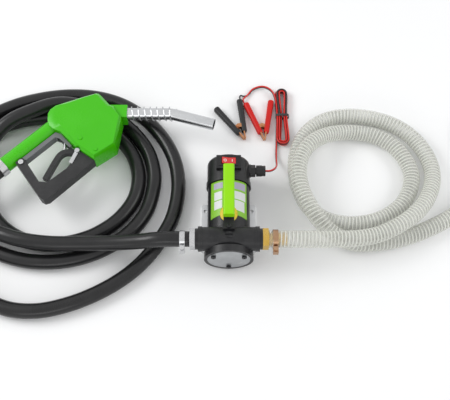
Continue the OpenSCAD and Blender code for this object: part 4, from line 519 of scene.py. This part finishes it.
def clip_half(name, body, plastic, slot, tip):
    """The node's steel arm, softened, with a sleeve P(s, q) = C + s A + w c side + h d up, where
    c and d are cos q and sin q to the power 0.7 with their signs kept. Its width w swells to the
    handle end and ripples for the fingers."""
    spots, corners, starts = mesh_arrays(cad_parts[name].data)
    far_out = np.abs(spots[corners, 2] - clip_mid) > sleeve_over
    of_sleeve = np.logical_or.reduceat(far_out, starts)
    ends = np.unique(spots[corners[far_out]].round(6), axis=0)
    used, fresh = np.unique(corners[np.repeat(~of_sleeve, 3)], return_inverse=True)
    steel_mesh = bpy.data.meshes.new("steel_arm")
    steel_mesh.from_pydata(spots[used].tolist(), [], fresh.reshape(-1, 3).tolist())
    steel = bmesh.new()
    steel.from_mesh(steel_mesh)
    bmesh.ops.remove_doubles(steel, verts=steel.verts, dist=seam_gap)
    sharp = [e for e in steel.edges if len(e.link_faces) == 2 and e.calc_face_angle(0) > arm_sharp]
    bmesh.ops.bevel(steel, geom=sharp, offset=arm_round, segments=2, affect="EDGES",
                    clamp_overlap=True)
    steel.to_mesh(steel_mesh)
    steel.free()
    steel_points, steel_corners, steel_starts = mesh_arrays(steel_mesh)
    flat = ends[:, :2] - ends[:, :2].mean(axis=0)
    axis = np.linalg.svd(flat, full_matrices=False)[2][0]
    axis = axis * np.sign(np.dot(ends[:, :2].mean(axis=0) - np.array(tip), axis))
    side = np.array([axis[1], -axis[0]])
    run, spread = flat @ axis, flat @ side
    length, wide = np.ptp(run), np.ptp(spread) / 2
    start = ends[:, :2].mean(axis=0) + axis * run.min() + side * (spread.max() + spread.min()) / 2
    t = (1 - np.cos(np.linspace(0, np.pi, sleeve_rings))) / 2
    along = length * t
    cap = np.clip(np.minimum(along, length - along) / sleeve_end, 0, 1)
    cap = np.sqrt(np.clip(1 - (1 - cap) ** 2, 0.01, 1))
    swell = 0.84 + 0.14 * t ** 2
    gripped = np.abs(t - 0.6) < 0.22
    ripple = finger_depth * np.cos(2 * np.pi * along / finger_pitch) * gripped
    width = (wide * swell + ripple) * (0.35 + 0.65 * cap)
    height = sleeve_tall * (0.86 + 0.14 * t) * (0.45 + 0.55 * cap)
    q = 2 * np.pi * np.arange(sleeve_sides) / sleeve_sides
    bend = [np.sign(f(q)) * np.abs(f(q)) ** squareness for f in (np.cos, np.sin)]
    rings = np.zeros((sleeve_rings, sleeve_sides, 3))
    rings[..., :2] = ((start + along[:, None] * axis)[:, None]
                      + (width[:, None] * bend[0])[..., None] * side)
    rings[..., 2] = clip_mid + height[:, None] * bend[1]
    points, faces = ring_mesh(rings)
    steel_faces = np.split(steel_corners + len(points), steel_starts[1:])
    half = piece(name + "_dressed", np.vstack([points, steel_points]),
                 faces + [f.tolist() for f in steel_faces], plastic, slot, body)
    bpy.data.meshes.remove(steel_mesh)
    half.data.materials.append(clip_copper)
    slots = np.zeros(len(half.data.polygons), int)
    slots[len(faces):] = 1
    half.data.polygons.foreach_set("material_index", slots.tolist())
    half.data.polygons.foreach_set("use_smooth", (slots == 0).tolist())
    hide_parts(name)


clip_half("black_clip_fixed_half", "pump", clip_black, "clip_black", (0.031, 0.185))
clip_half("black_clip_moving_half", "black_clip_jaw", clip_black, "clip_black", (0.031, 0.185))
clip_half("red_clip_fixed_half", "pump", clip_red, "clip_red", (0.0685, 0.1835))
clip_half("red_clip_moving_half", "red_clip_jaw", clip_red, "clip_red", (0.0685, 0.1835))

# Twin lead
# Red and black flat twin flex, 6.2 by 3.2 mm, about 1.35 m to its red clip: one run from the
# gland, a hank of four turns tied at its waist, and an arc that splits into two tails.
lead_tall = 0.0062
lead_thick = 0.0032
lead_route = np.array([
    [60, 93, 48], [66, 93, 48], [73, 93.5, 47], [80, 98, 43], [86, 108, 33], [89, 122, 19],
    [89.5, 138, 8.5], [90, 154, 4.2], [91, 172, 3.6], [91.6, 188, 3.6], [92.5, 206, 3.6],
    [93.3, 220, 3.6], [93.8, 234.5, 3.6]]) / 1000
arc_route = np.array([
    [93.8, 234.5, 10.5], [93.3, 249, 10.5], [92.5, 263, 10.5], [91, 275, 10.4], [87, 288, 10],
    [79, 298, 9], [68, 303.5, 7], [57, 303, 5], [47, 298, 4], [41, 290, 3.6]]) / 1000
red_tail_route = np.array([
    [41, 290, 5.2], [37, 284.7, 5.4], [32, 279, 6], [29, 274, 6.8], [29.5, 269.2, 6.8],
    [33, 260.2, 6.8]]) / 1000
black_tail_route = np.array([
    [41, 290, 2], [36, 286, 2.1], [30, 284, 3], [24.5, 284, 5.5], [22.3, 279.5, 6.8],
    [22.9, 276, 6.8], [24.1, 269, 6.8]]) / 1000
tail_r = 0.0015
tail_sides = 14
tail_step = 0.001
hank_centre = (0.104, 0.2345)
hank_half_w = 0.014
hank_half_l = 0.065
hank_nesting = 0.0041
hank_low_z = 0.0036
hank_rise = 0.0069
waist_draw = 0.0022
hank_turns = 4
# One turn by its fraction f: half a left leg to 0.125, the top bow to 0.375, the right leg to
# 0.625, the lower bow to 0.875 and the rest of the left leg. Turns go in, then climb and go out.
hank_u = np.linspace(0, hank_turns, 385)
hank_f = hank_u - np.floor(hank_u)
hank_f[-1] = 1.0
hank_inset = hank_nesting * np.where(hank_u < hank_turns / 2, hank_u, hank_turns - hank_u)
hank_w = hank_half_w - lead_thick / 2 - hank_inset
hank_l = hank_half_l - lead_thick / 2 - hank_inset - hank_w
hank_climb = np.clip((hank_u - 1.88) / 0.24, 0, 1)
hank_z = hank_low_z + hank_rise * hank_climb ** 2 * (3 - 2 * hank_climb)
hank_y = hank_l * np.interp(hank_f, [0, 0.125, 0.375, 0.625, 0.875, 1], [0, 1, 1, -1, -1, 0])
hank_a = np.where(hank_f < 0.5, np.pi * (1 - (hank_f - 0.125) / 0.25),
                  -np.pi * (hank_f - 0.625) / 0.25)
hank_bow = ((hank_f >= 0.125) & (hank_f < 0.375)) | ((hank_f >= 0.625) & (hank_f < 0.875))
hank_leg_x = np.where((hank_f < 0.125) | (hank_f >= 0.875), -hank_w, hank_w)
hank_x = np.where(hank_bow, hank_w * np.cos(hank_a), hank_leg_x)
hank_y = hank_y + np.where(hank_bow, hank_w * np.sin(hank_a), 0)
hank_draw = np.where(hank_bow, 0, waist_draw * (1 + np.cos(np.pi * hank_y / hank_l)) / 2)
hank_line = np.column_stack([hank_centre[0] + hank_x - np.sign(hank_x) * hank_draw,
                             hank_centre[1] + hank_y, hank_z])
run_line = curve_through(lead_route, route_step)[0]
arc_line = curve_through(arc_route, route_step)[0]
tail_line, tail_length = curve_through(red_tail_route, tail_step)
twin_line = np.vstack([run_line, hank_line[1:-1], arc_line])
twin_gone = np.concatenate([[0], np.cumsum(np.linalg.norm(np.diff(twin_line, axis=0), axis=1))])
twin_length = twin_gone[-1]
twin_rings = 900
twin_stops = np.linspace(0, twin_length, twin_rings)
twin_even = np.column_stack([np.interp(twin_stops, twin_gone, twin_line[:, k]) for k in range(3)])
twin_sides = 20
lobe = 2 * np.pi * (np.arange(twin_sides) + 0.5) / twin_sides
lobe_r = 0.00145
lobe_inset = 0.00015
web_least = 0.0000003
lobe_off = lead_tall / 2 - lobe_r - lobe_inset
twin_radii = (lobe_off * np.abs(np.sin(lobe))
              + np.sqrt(np.clip(lobe_r ** 2 - (lobe_off * np.cos(lobe)) ** 2, web_least, None)))
twin_points, twin_faces = tube(twin_even, twin_length, twin_stops, twin_radii, twin_sides)
red_points, red_faces = tube(tail_line, tail_length, np.linspace(0, tail_length, 40), tail_r,
                             tail_sides)
red_sheath = finish_of("red_sheath", (0.54, 0.006, 0.003), (0.72, 0.016, 0.007), 0.32, 0.1,
                       patch=30.0, bump=0.08, mark=0.2, dusty=0.05, coat=0.15)
black_sheath = finish_of("black_sheath", (0.010, 0.010, 0.011), (0.03, 0.03, 0.032), 0.35, 0.1,
                         patch=30.0, bump=0.08, mark=0.2, dusty=0.05)
lead = piece("twin_lead", np.vstack([twin_points, red_points]),
             twin_faces + [[v + len(twin_points) for v in f] for f in red_faces], red_sheath,
             "lead_sheath")
lead.data.materials.append(black_sheath)
hank_gone = twin_gone[len(run_line) - 1:len(run_line) + len(hank_u) - 1]
turn_of = np.interp(twin_stops[:-1], hank_gone, hank_u)
swapped = ((turn_of > 0.5) & (turn_of < 1.5)) | ((turn_of > 3.0) & (turn_of < 3.5))
upper = np.sin(lobe + np.pi / twin_sides) > 0
core = np.where(swapped[:, None], upper[None], ~upper[None]).astype(int).ravel()
lead_slots = np.zeros(len(lead.data.polygons), int)
lead_slots[:len(core)] = core
lead.data.polygons.foreach_set("material_index", lead_slots.tolist())
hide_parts("lead_runs", "lead_hank")


crimp_r = 0.0021
crimp_from, crimp_to = -0.004, 0.007
crimp_sides = 18
dent_deep = 0.0003
dent_wide = 0.0008
dent_gap = 0.004


def crimp(name, line):
    """The copper ferrule crimped on a tail's end inside its clip: P(s, q) = E + s T + r(s) n(q),
    where r(s) is waisted by two crimp dents."""
    heading = (line[-1] - line[-4]) / np.linalg.norm(line[-1] - line[-4])
    stops = np.linspace(crimp_from, crimp_to, 45)
    dents = np.exp(-(stops / dent_wide) ** 2) + np.exp(-((stops - dent_gap) / dent_wide) ** 2)
    radii = (crimp_r - dent_deep * dents)[:, None]
    return piece(name, *tube(line[-1] + stops[:, None] * heading, crimp_to - crimp_from,
                             stops - stops[0], radii, crimp_sides), clip_copper, "copper")


crimp("red_crimp", tail_line)
short_line, short_length = curve_through(black_tail_route, tail_step)
black_tail = piece("black_tail", *tube(short_line, short_length, np.linspace(0, short_length, 44),
                                       tail_r, tail_sides), black_sheath, "lead_sheath")
crimp("black_crimp", short_line)

# The tie round the hank's waist: a black plastic band 5 mm wide, a rounded loop
# P(t) = C + (a c, w, b s) with c and s softened cosine and sine.
tie_half_w = 0.0129
tie_half_h = 0.0073
tie_mid_z = 0.0074
tie_band = 0.0025
tie_thick = 0.0007
tie_count = 48
tie_squareness = 0.55
tie_t = 2 * np.pi * np.arange(tie_count) / tie_count
tie_c = np.sign(np.cos(tie_t)) * np.abs(np.cos(tie_t)) ** tie_squareness
tie_s = np.sign(np.sin(tie_t)) * np.abs(np.sin(tie_t)) ** tie_squareness
tie_edges = [(-tie_band, 0.0), (tie_band, 0.0), (tie_band, -tie_thick), (-tie_band, -tie_thick)]
tie_rings = np.stack([np.column_stack([hank_centre[0] + (tie_half_w + deep) * tie_c,
                                       np.full(tie_count, hank_centre[1] + wide),
                                       tie_mid_z + (tie_half_h + deep) * tie_s])
                      for wide, deep in tie_edges], axis=1)
tie_points, tie_faces = ring_mesh(tie_rings, closed=False)
last_edge = (tie_count - 1) * 4
tie_faces += [[last_edge + j, last_edge + (j + 1) % 4, (j + 1) % 4, j] for j in range(4)]
piece("hank_tie", tie_points, tie_faces, black_sheath, "lead_sheath", smooth=False)

# Pump body
# Cast iron housing under black satin paint: round rotor house with its cover flange, the cross
# barrel with collars and necks, the foot and the bosses. Bolted to the saddle and the motor.
black_paint = finish_of("black_paint", (0.007, 0.007, 0.008), (0.016, 0.016, 0.018), 0.34, 0.14,
                        patch=16.0, grain=420.0, bump=0.3, mark=0.3, dusty=0.15, depth=0.0006,
                        mark_colour=(0.09, 0.09, 0.095), shine=0.35)
dress("pump_body", black_paint, 0.0007)

# Pump cover
# Round plate of bright zinc-plated steel with a speckled, tumbled surface, held to the front of
# the housing by black machine screws.
cover_zinc = finish_of("cover_zinc", (0.28, 0.29, 0.30), (0.50, 0.51, 0.52), 0.34, 0.2, metal=0.9,
                       patch=55.0, grain=260.0, bump=0.4, mark=0.5, mark_colour=(0.8, 0.8, 0.8),
                       dusty=0.25, depth=0.0005)
dress("cover_plate", cover_zinc)

# Cover joint and cover screws
# A thin black rubber sheet gasket under the cover plate, and three black steel cap screws. The
# shaft's lip seal is the same rubber, and the plate's screws are the same black steel.
rubber = finish_of("black_rubber", (0.008, 0.008, 0.008), (0.02, 0.02, 0.02), 0.6, 0.1, patch=30.0,
                   grain=1200.0, bump=0.15, mark=0.1)
dress("cover_gasket shaft_seal", rubber)
screw_black = finish_of("screw_black", (0.010, 0.010, 0.011), (0.03, 0.03, 0.033), 0.28, 0.12,
                        metal=0.6, patch=80.0, grain=1500.0, bump=0.1, mark=0.6,
                        mark_colour=(0.35, 0.35, 0.36), dusty=0.15)
dress("cover_screws mounting_screws", screw_black, 0.0003)

# Bypass valve
# Black steel plug in the barrel's top, over a brass poppet and its steel spring. The nozzle's
# main valve has a steel stem, a brass cap and a spring of the same kinds.
brass = finish_of("turned_brass", (0.50, 0.34, 0.12), (0.72, 0.53, 0.22), 0.26, 0.1, metal=1.0,
                  patch=60.0, grain=1100.0, bump=0.1, mark=0.3, dusty=0.0)
spring_steel = finish_of("spring_steel", (0.42, 0.43, 0.44), (0.66, 0.67, 0.68), 0.26, 0.1,
                         metal=1.0, patch=90.0, grain=1400.0, bump=0.08, mark=0.3, dusty=0.1)
dress("bypass_plug", screw_black, 0.0004)
dress("bypass_poppet valve_cap", brass, 0.0002)
dress("valve_stem", spring_steel, 0.0002)
dress("bypass_spring brush_springs valve_spring", spring_steel)

# Rotor and vanes
# Sintered iron rotor pressed on the motor's shaft, with sliding carbon vanes in its slots. The
# motor's brushes and their dark holder look the same.
sintered = finish_of("sintered_iron", (0.16, 0.155, 0.15), (0.30, 0.29, 0.28), 0.5, 0.12,
                     metal=0.8, patch=90.0, grain=1800.0, bump=0.3, mark=0.2, dusty=0.0)
carbon = finish_of("carbon", (0.012, 0.012, 0.013), (0.035, 0.035, 0.037), 0.5, 0.1, patch=60.0,
                   grain=1500.0, bump=0.2, mark=0.1, dusty=0.0)
dress("rotor", sintered, 0.0003)
dress("vanes brushes brush_holder", carbon, 0.0002)

# Motor
# Drawn steel can in black paint with two glued ferrite arcs inside, a wound armature on its
# shaft between two bearings, a copper commutator, and the cast rear shield on two long bolts.
can_paint = finish_of("can_paint", (0.006, 0.006, 0.007), (0.013, 0.013, 0.015), 0.26, 0.1,
                      patch=14.0, grain=800.0, bump=0.12, mark=0.4, dusty=0.15, shine=0.35,
                      mark_colour=(0.15, 0.15, 0.155))
ferrite = finish_of("ferrite", (0.03, 0.03, 0.033), (0.07, 0.07, 0.075), 0.55, 0.1, patch=50.0,
                    grain=1600.0, bump=0.2, mark=0.1, dusty=0.0)
copper = finish_of("copper_winding", (0.42, 0.16, 0.07), (0.66, 0.30, 0.14), 0.3, 0.12, metal=0.9,
                   patch=120.0, grain=2200.0, bump=0.6, mark=0.1, dusty=0.0)
ground_steel = finish_of("ground_steel", (0.50, 0.51, 0.52), (0.74, 0.75, 0.76), 0.2, 0.08,
                         metal=1.0, patch=80.0, grain=1600.0, bump=0.08, mark=0.3, dusty=0.0)
cast_alu = finish_of("cast_aluminium", (0.36, 0.37, 0.38), (0.55, 0.56, 0.57), 0.38, 0.14,
                     metal=0.95, patch=40.0, grain=700.0, bump=0.3, mark=0.3, dusty=0.15,
                     mark_colour=(0.85, 0.85, 0.86))
dress("motor_can", can_paint, 0.0006)
dress("magnets", ferrite, 0.0002)
dress("armature commutator", copper, 0.0002)
dress("motor_shaft motor_bearings through_bolts", ground_steel, 0.0002)
dress("rear_endshield nozzle_casting", cast_alu, 0.0004)

# Motor label
# A printed film, lime green with blank white and grey fields, stuck round the top of the can:
# P(a, y) = (R sin a, y, h + R cos a). A yellow film disc lies under the handle's foot.
can_h = 0.048
film_thick = 0.0001
label_r = 0.03722
label_half = 56.0
label_top = 0.056
label_point = -0.008
label_slant = 0.006
label_a = np.linspace(-label_half, label_half, 57)
label_t = np.linspace(0, 1, 36)
label_low = label_point - label_slant * np.abs(label_a) / label_half
label_y = label_top - (label_top - label_low[None]) * label_t[:, None]
label_turn = np.broadcast_to(np.radians(label_a)[None], label_y.shape)


def film(name, turn, y, radius, material, slot):
    """A closed thin film round the can, whose outer face is (R sin turn, y, h + R cos turn)."""
    rows, cols = turn.shape
    skins = [np.stack([r * np.sin(turn), y, can_h + r * np.cos(turn)], axis=-1).reshape(-1, 3)
             for r in (radius, radius - film_thick)]
    i, j = np.meshgrid(np.arange(rows - 1), np.arange(cols - 1), indexing="ij")
    corner = (i * cols + j).ravel()
    top = np.column_stack([corner, corner + 1, corner + cols + 1, corner + cols])
    rim = np.concatenate([np.arange(cols), np.arange(1, rows) * cols + cols - 1,
                          (rows - 1) * cols + np.arange(cols - 1)[::-1],
                          np.arange(1, rows - 1)[::-1] * cols])
    after = np.roll(rim, -1)
    count = rows * cols
    sides = np.column_stack([rim, after, after + count, rim + count])
    return piece(name, np.vstack(skins), np.vstack([top, top + count, sides]).tolist(), material,
                 slot)


print_look = {"patch": 20.0, "grain": 800.0, "bump": 0.05, "dusty": 0.1}
label_green = finish_of("label_green", (0.20, 0.48, 0.02), (0.27, 0.58, 0.035), 0.3, 0.08,
                        mark=0.25, **print_look)
label_white = finish_of("label_white", (0.66, 0.67, 0.68), (0.80, 0.80, 0.81), 0.32, 0.08,
                        mark=0.2, **print_look)
label_grey = finish_of("label_grey", (0.36, 0.33, 0.44), (0.48, 0.45, 0.56), 0.32, 0.08,
                       mark=0.2, **print_look)
label = film("motor_label", label_turn, label_y, label_r, label_green, "lime_plastic")
label.data.materials.append(label_white)
label.data.materials.append(label_grey)
field_a = (label_a[:-1] + label_a[1:])[None] / 2
field_t = (label_t[:-1] + label_t[1:])[:, None] / 2
# Each blank field: its degrees round the can, its share of the way down, and its colour's slot.
fields = np.zeros((len(label_t) - 1, len(label_a) - 1), int)
for low_a, high_a, low_t, high_t, kind in ((-42, -18, 0.30, 0.54, 1), (-42, -18, 0.58, 0.80, 1),
                                          (12, 50, 0.05, 0.26, 2), (12, 50, 0.31, 0.54, 1),
                                          (14, 46, 0.58, 0.86, 1), (-44, -16, 0.06, 0.22, 2)):
    fields[(field_a > low_a) & (field_a < high_a) & (field_t > low_t) & (field_t < high_t)] = kind
label_slots = np.zeros(len(label.data.polygons), int)
label_slots[:fields.size] = fields.ravel()
label.data.polygons.foreach_set("material_index", label_slots.tolist())
disc_yellow = finish_of("disc_yellow", (0.70, 0.50, 0.01), (0.82, 0.62, 0.02), 0.32, 0.08,
                        mark=0.2, **print_look)
disc_y = -0.008
disc_outer = 0.0155
disc_lift = 0.00014
disc_r = disc_outer * np.linspace(0.04, 1, 9)[:, None]
disc_q = np.radians(np.linspace(0, 359, 49))[None]
film("handle_disc", disc_r * np.cos(disc_q) / label_r, disc_y + disc_r * np.sin(disc_q),
     label_r + disc_lift, disc_yellow, "lime_plastic")

# End cap, switch and cable gland
# Black end cap over the brush gear with a flat for the rocker switch: black frame, glossy red
# rocker with its on and off marks. The lead comes out through a black nylon gland.
end_black = finish_of("end_black", (0.006, 0.006, 0.007), (0.014, 0.014, 0.015), 0.30, 0.12,
                      patch=18.0, grain=600.0, bump=0.2, mark=0.4, dusty=0.15, shine=0.35,
                      mark_colour=(0.14, 0.14, 0.145))
nylon = finish_of("black_nylon", (0.006, 0.006, 0.007), (0.014, 0.014, 0.015), 0.36, 0.1,
                  patch=40.0, grain=1000.0, bump=0.12, mark=0.3, dusty=0.15, shine=0.35)
rocker_red = finish_of("rocker_red", (0.56, 0.012, 0.010), (0.74, 0.03, 0.022), 0.16, 0.06,
                       patch=60.0, bump=0.04, mark=0.25, dusty=0.05, coat=0.5)
dress("end_cap", end_black, 0.0007)
dress("switch_housing cable_gland", nylon, 0.0004)
rocker_tree = rocker_red.node_tree
rocker_bsdf = rocker_tree.nodes["Principled BSDF"]
rocker_place = wire(rocker_tree, "TexCoord").outputs["Object"]
rocker_at = wire(rocker_tree, "SeparateXYZ", vector=rocker_place)
rocker_y = 0.0915
mark_off = 0.0062
mark_half = 0.0026
ring_hole = 0.0017
bar_half = 0.0005
mark_masks = []
for side, hollow in ((-mark_off, ring_hole), (mark_off, 0.0)):
    off_x = reckon(rocker_tree, "ADD", rocker_at.outputs["X"], -side)
    off_y = reckon(rocker_tree, "ADD", rocker_at.outputs["Y"], -rocker_y)
    if hollow:
        squares = [reckon(rocker_tree, "MULTIPLY", off, off) for off in (off_x, off_y)]
        away = reckon(rocker_tree, "ADD", *squares)
        inner = reckon(rocker_tree, "GREATER_THAN", away, hollow ** 2)
        outer = reckon(rocker_tree, "LESS_THAN", away, mark_half ** 2)
    else:
        inner = reckon(rocker_tree, "COMPARE", off_x, 0.0, bar_half)
        outer = reckon(rocker_tree, "COMPARE", off_y, 0.0, mark_half)
    mark_masks.append(reckon(rocker_tree, "MULTIPLY", inner, outer))
marked = reckon(rocker_tree, "MAXIMUM", *mark_masks)
rocker_colour = rocker_bsdf.inputs["Base Color"]
marked_colour = blend_of(rocker_tree, marked, rocker_colour.links[0].from_socket,
                         (0.85, 0.85, 0.83))
rocker_tree.links.new(marked_colour, rocker_colour)
dress("switch_rocker", rocker_red, 0.0004)

# Base plate and saddle
# Zinc-plated steel plate with four holes, and the black cast saddle that carries the motor.
plate_zinc = finish_of("plate_zinc", (0.50, 0.51, 0.52), (0.74, 0.75, 0.76), 0.36, 0.14,
                       metal=0.9, patch=22.0, grain=500.0, bump=0.12, mark=0.6, dusty=0.3,
                       mark_colour=(0.85, 0.85, 0.85))
dress("base_plate", plate_zinc, 0.0006)
dress("motor_saddle", black_paint, 0.0006)

# Carrying handle
# Black nylon bow bolted to the pump and the motor, with a lime moulded grip pressed over it.
lime = finish_of("lime_plastic", (0.26, 0.66, 0.0), (0.31, 0.76, 0.001), 0.32, 0.08, grain=600.0,
                 bump=0.08, mark=0.2, mark_colour=(0.4, 0.8, 0.05), dusty=0.05, shine=0.3)
dress("handle_bar", nylon, 0.0008)
dress("handle_grip", lime, 0.0014)

# Hose tails and clamps
# Bright zinc-plated outlet tail, yellow-passivated inlet tail, and two worm-drive clamps, bright
# on the delivery hose and bronzed on the suction hose.
bright_zinc = finish_of("bright_zinc", (0.42, 0.43, 0.44), (0.66, 0.66, 0.67), 0.24, 0.12,
                        metal=1.0, patch=70.0, bump=0.12, mark=0.5, mark_colour=(0.9, 0.9, 0.9),
                        dusty=0.15)
yellow_zinc = finish_of("yellow_zinc", (0.50, 0.30, 0.05), (0.72, 0.50, 0.14), 0.24, 0.12,
                        metal=1.0, patch=45.0, bump=0.12, mark=0.45,
                        mark_colour=(0.85, 0.75, 0.5), dusty=0.12)
dress("outlet_tail", bright_zinc, 0.0006)
dress("inlet_tail", yellow_zinc, 0.0006)
bronzed = finish_of("bronzed_band", (0.30, 0.17, 0.09), (0.50, 0.32, 0.20), 0.26, 0.12, metal=1.0,
                    patch=50.0, bump=0.12, mark=0.4, dusty=0.1)
dress("hose_clamps", bright_zinc, 0.0002, more=(bronzed,))
tint_faces("hose_clamps", lambda x, y, z: x > 0)

# Suction strainer
# Black moulded foot filter on the end of the clear hose.
strainer_black = finish_of("strainer_black", (0.007, 0.007, 0.008), (0.016, 0.016, 0.017), 0.4,
                           0.12, patch=30.0, bump=0.2, shine=0.4)
dress("suction_strainer", strainer_black, 0.0004)

# Nozzle
# Aluminium valve casting in a bright green moulded cover, a black guard with a grey rail, a
# black lever, a bright aluminium spout with its wire spring, and the hose tail with its collar.
nozzle_green = finish_of("nozzle_green", (0.045, 0.44, 0.0), (0.06, 0.53, 0.001), 0.24, 0.08,
                         patch=9.0, grain=500.0, bump=0.06, mark=0.25, dusty=0.05, shine=0.35,
                         mark_colour=(0.12, 0.6, 0.02))
guard_black = finish_of("guard_black", (0.008, 0.008, 0.009), (0.018, 0.018, 0.019), 0.38, 0.12,
                        patch=24.0, bump=0.15, mark=0.45, dusty=0.15, shine=0.4)
rail_grey = finish_of("rail_grey", (0.11, 0.115, 0.12), (0.16, 0.165, 0.17), 0.42, 0.1, patch=24.0,
                      bump=0.12, dusty=0.15)
spout_alu = finish_of("spout_aluminium", (0.46, 0.47, 0.485), (0.66, 0.67, 0.68), 0.2, 0.12,
                      metal=1.0, patch=36.0, grain=1000.0, bump=0.12, mark=0.6, dusty=0.1,
                      mark_colour=(0.9, 0.9, 0.9))
dress("nozzle_cover", nozzle_green, 0.0018)
dress("nozzle_hose_tail", nylon, 0.0006)
dress("nozzle_collar", bright_zinc, 0.0005)
dress("spout", spout_alu, 0.0003)
dress("spout_spring", spring_steel)
dress("guard lever", guard_black, 0.0008)
dress("guard_rail", rail_grey, 0.0006)
dress("hold_clip", bright_zinc, 0.0002)
dress("nozzle_screws", bright_zinc, 0.0002, more=(nozzle_green,))
cover_face_z = 0.0639
pivot_line = -0.132
tint_faces("nozzle_screws", lambda x, y, z: (z > cover_face_z) & (x + y > pivot_line))
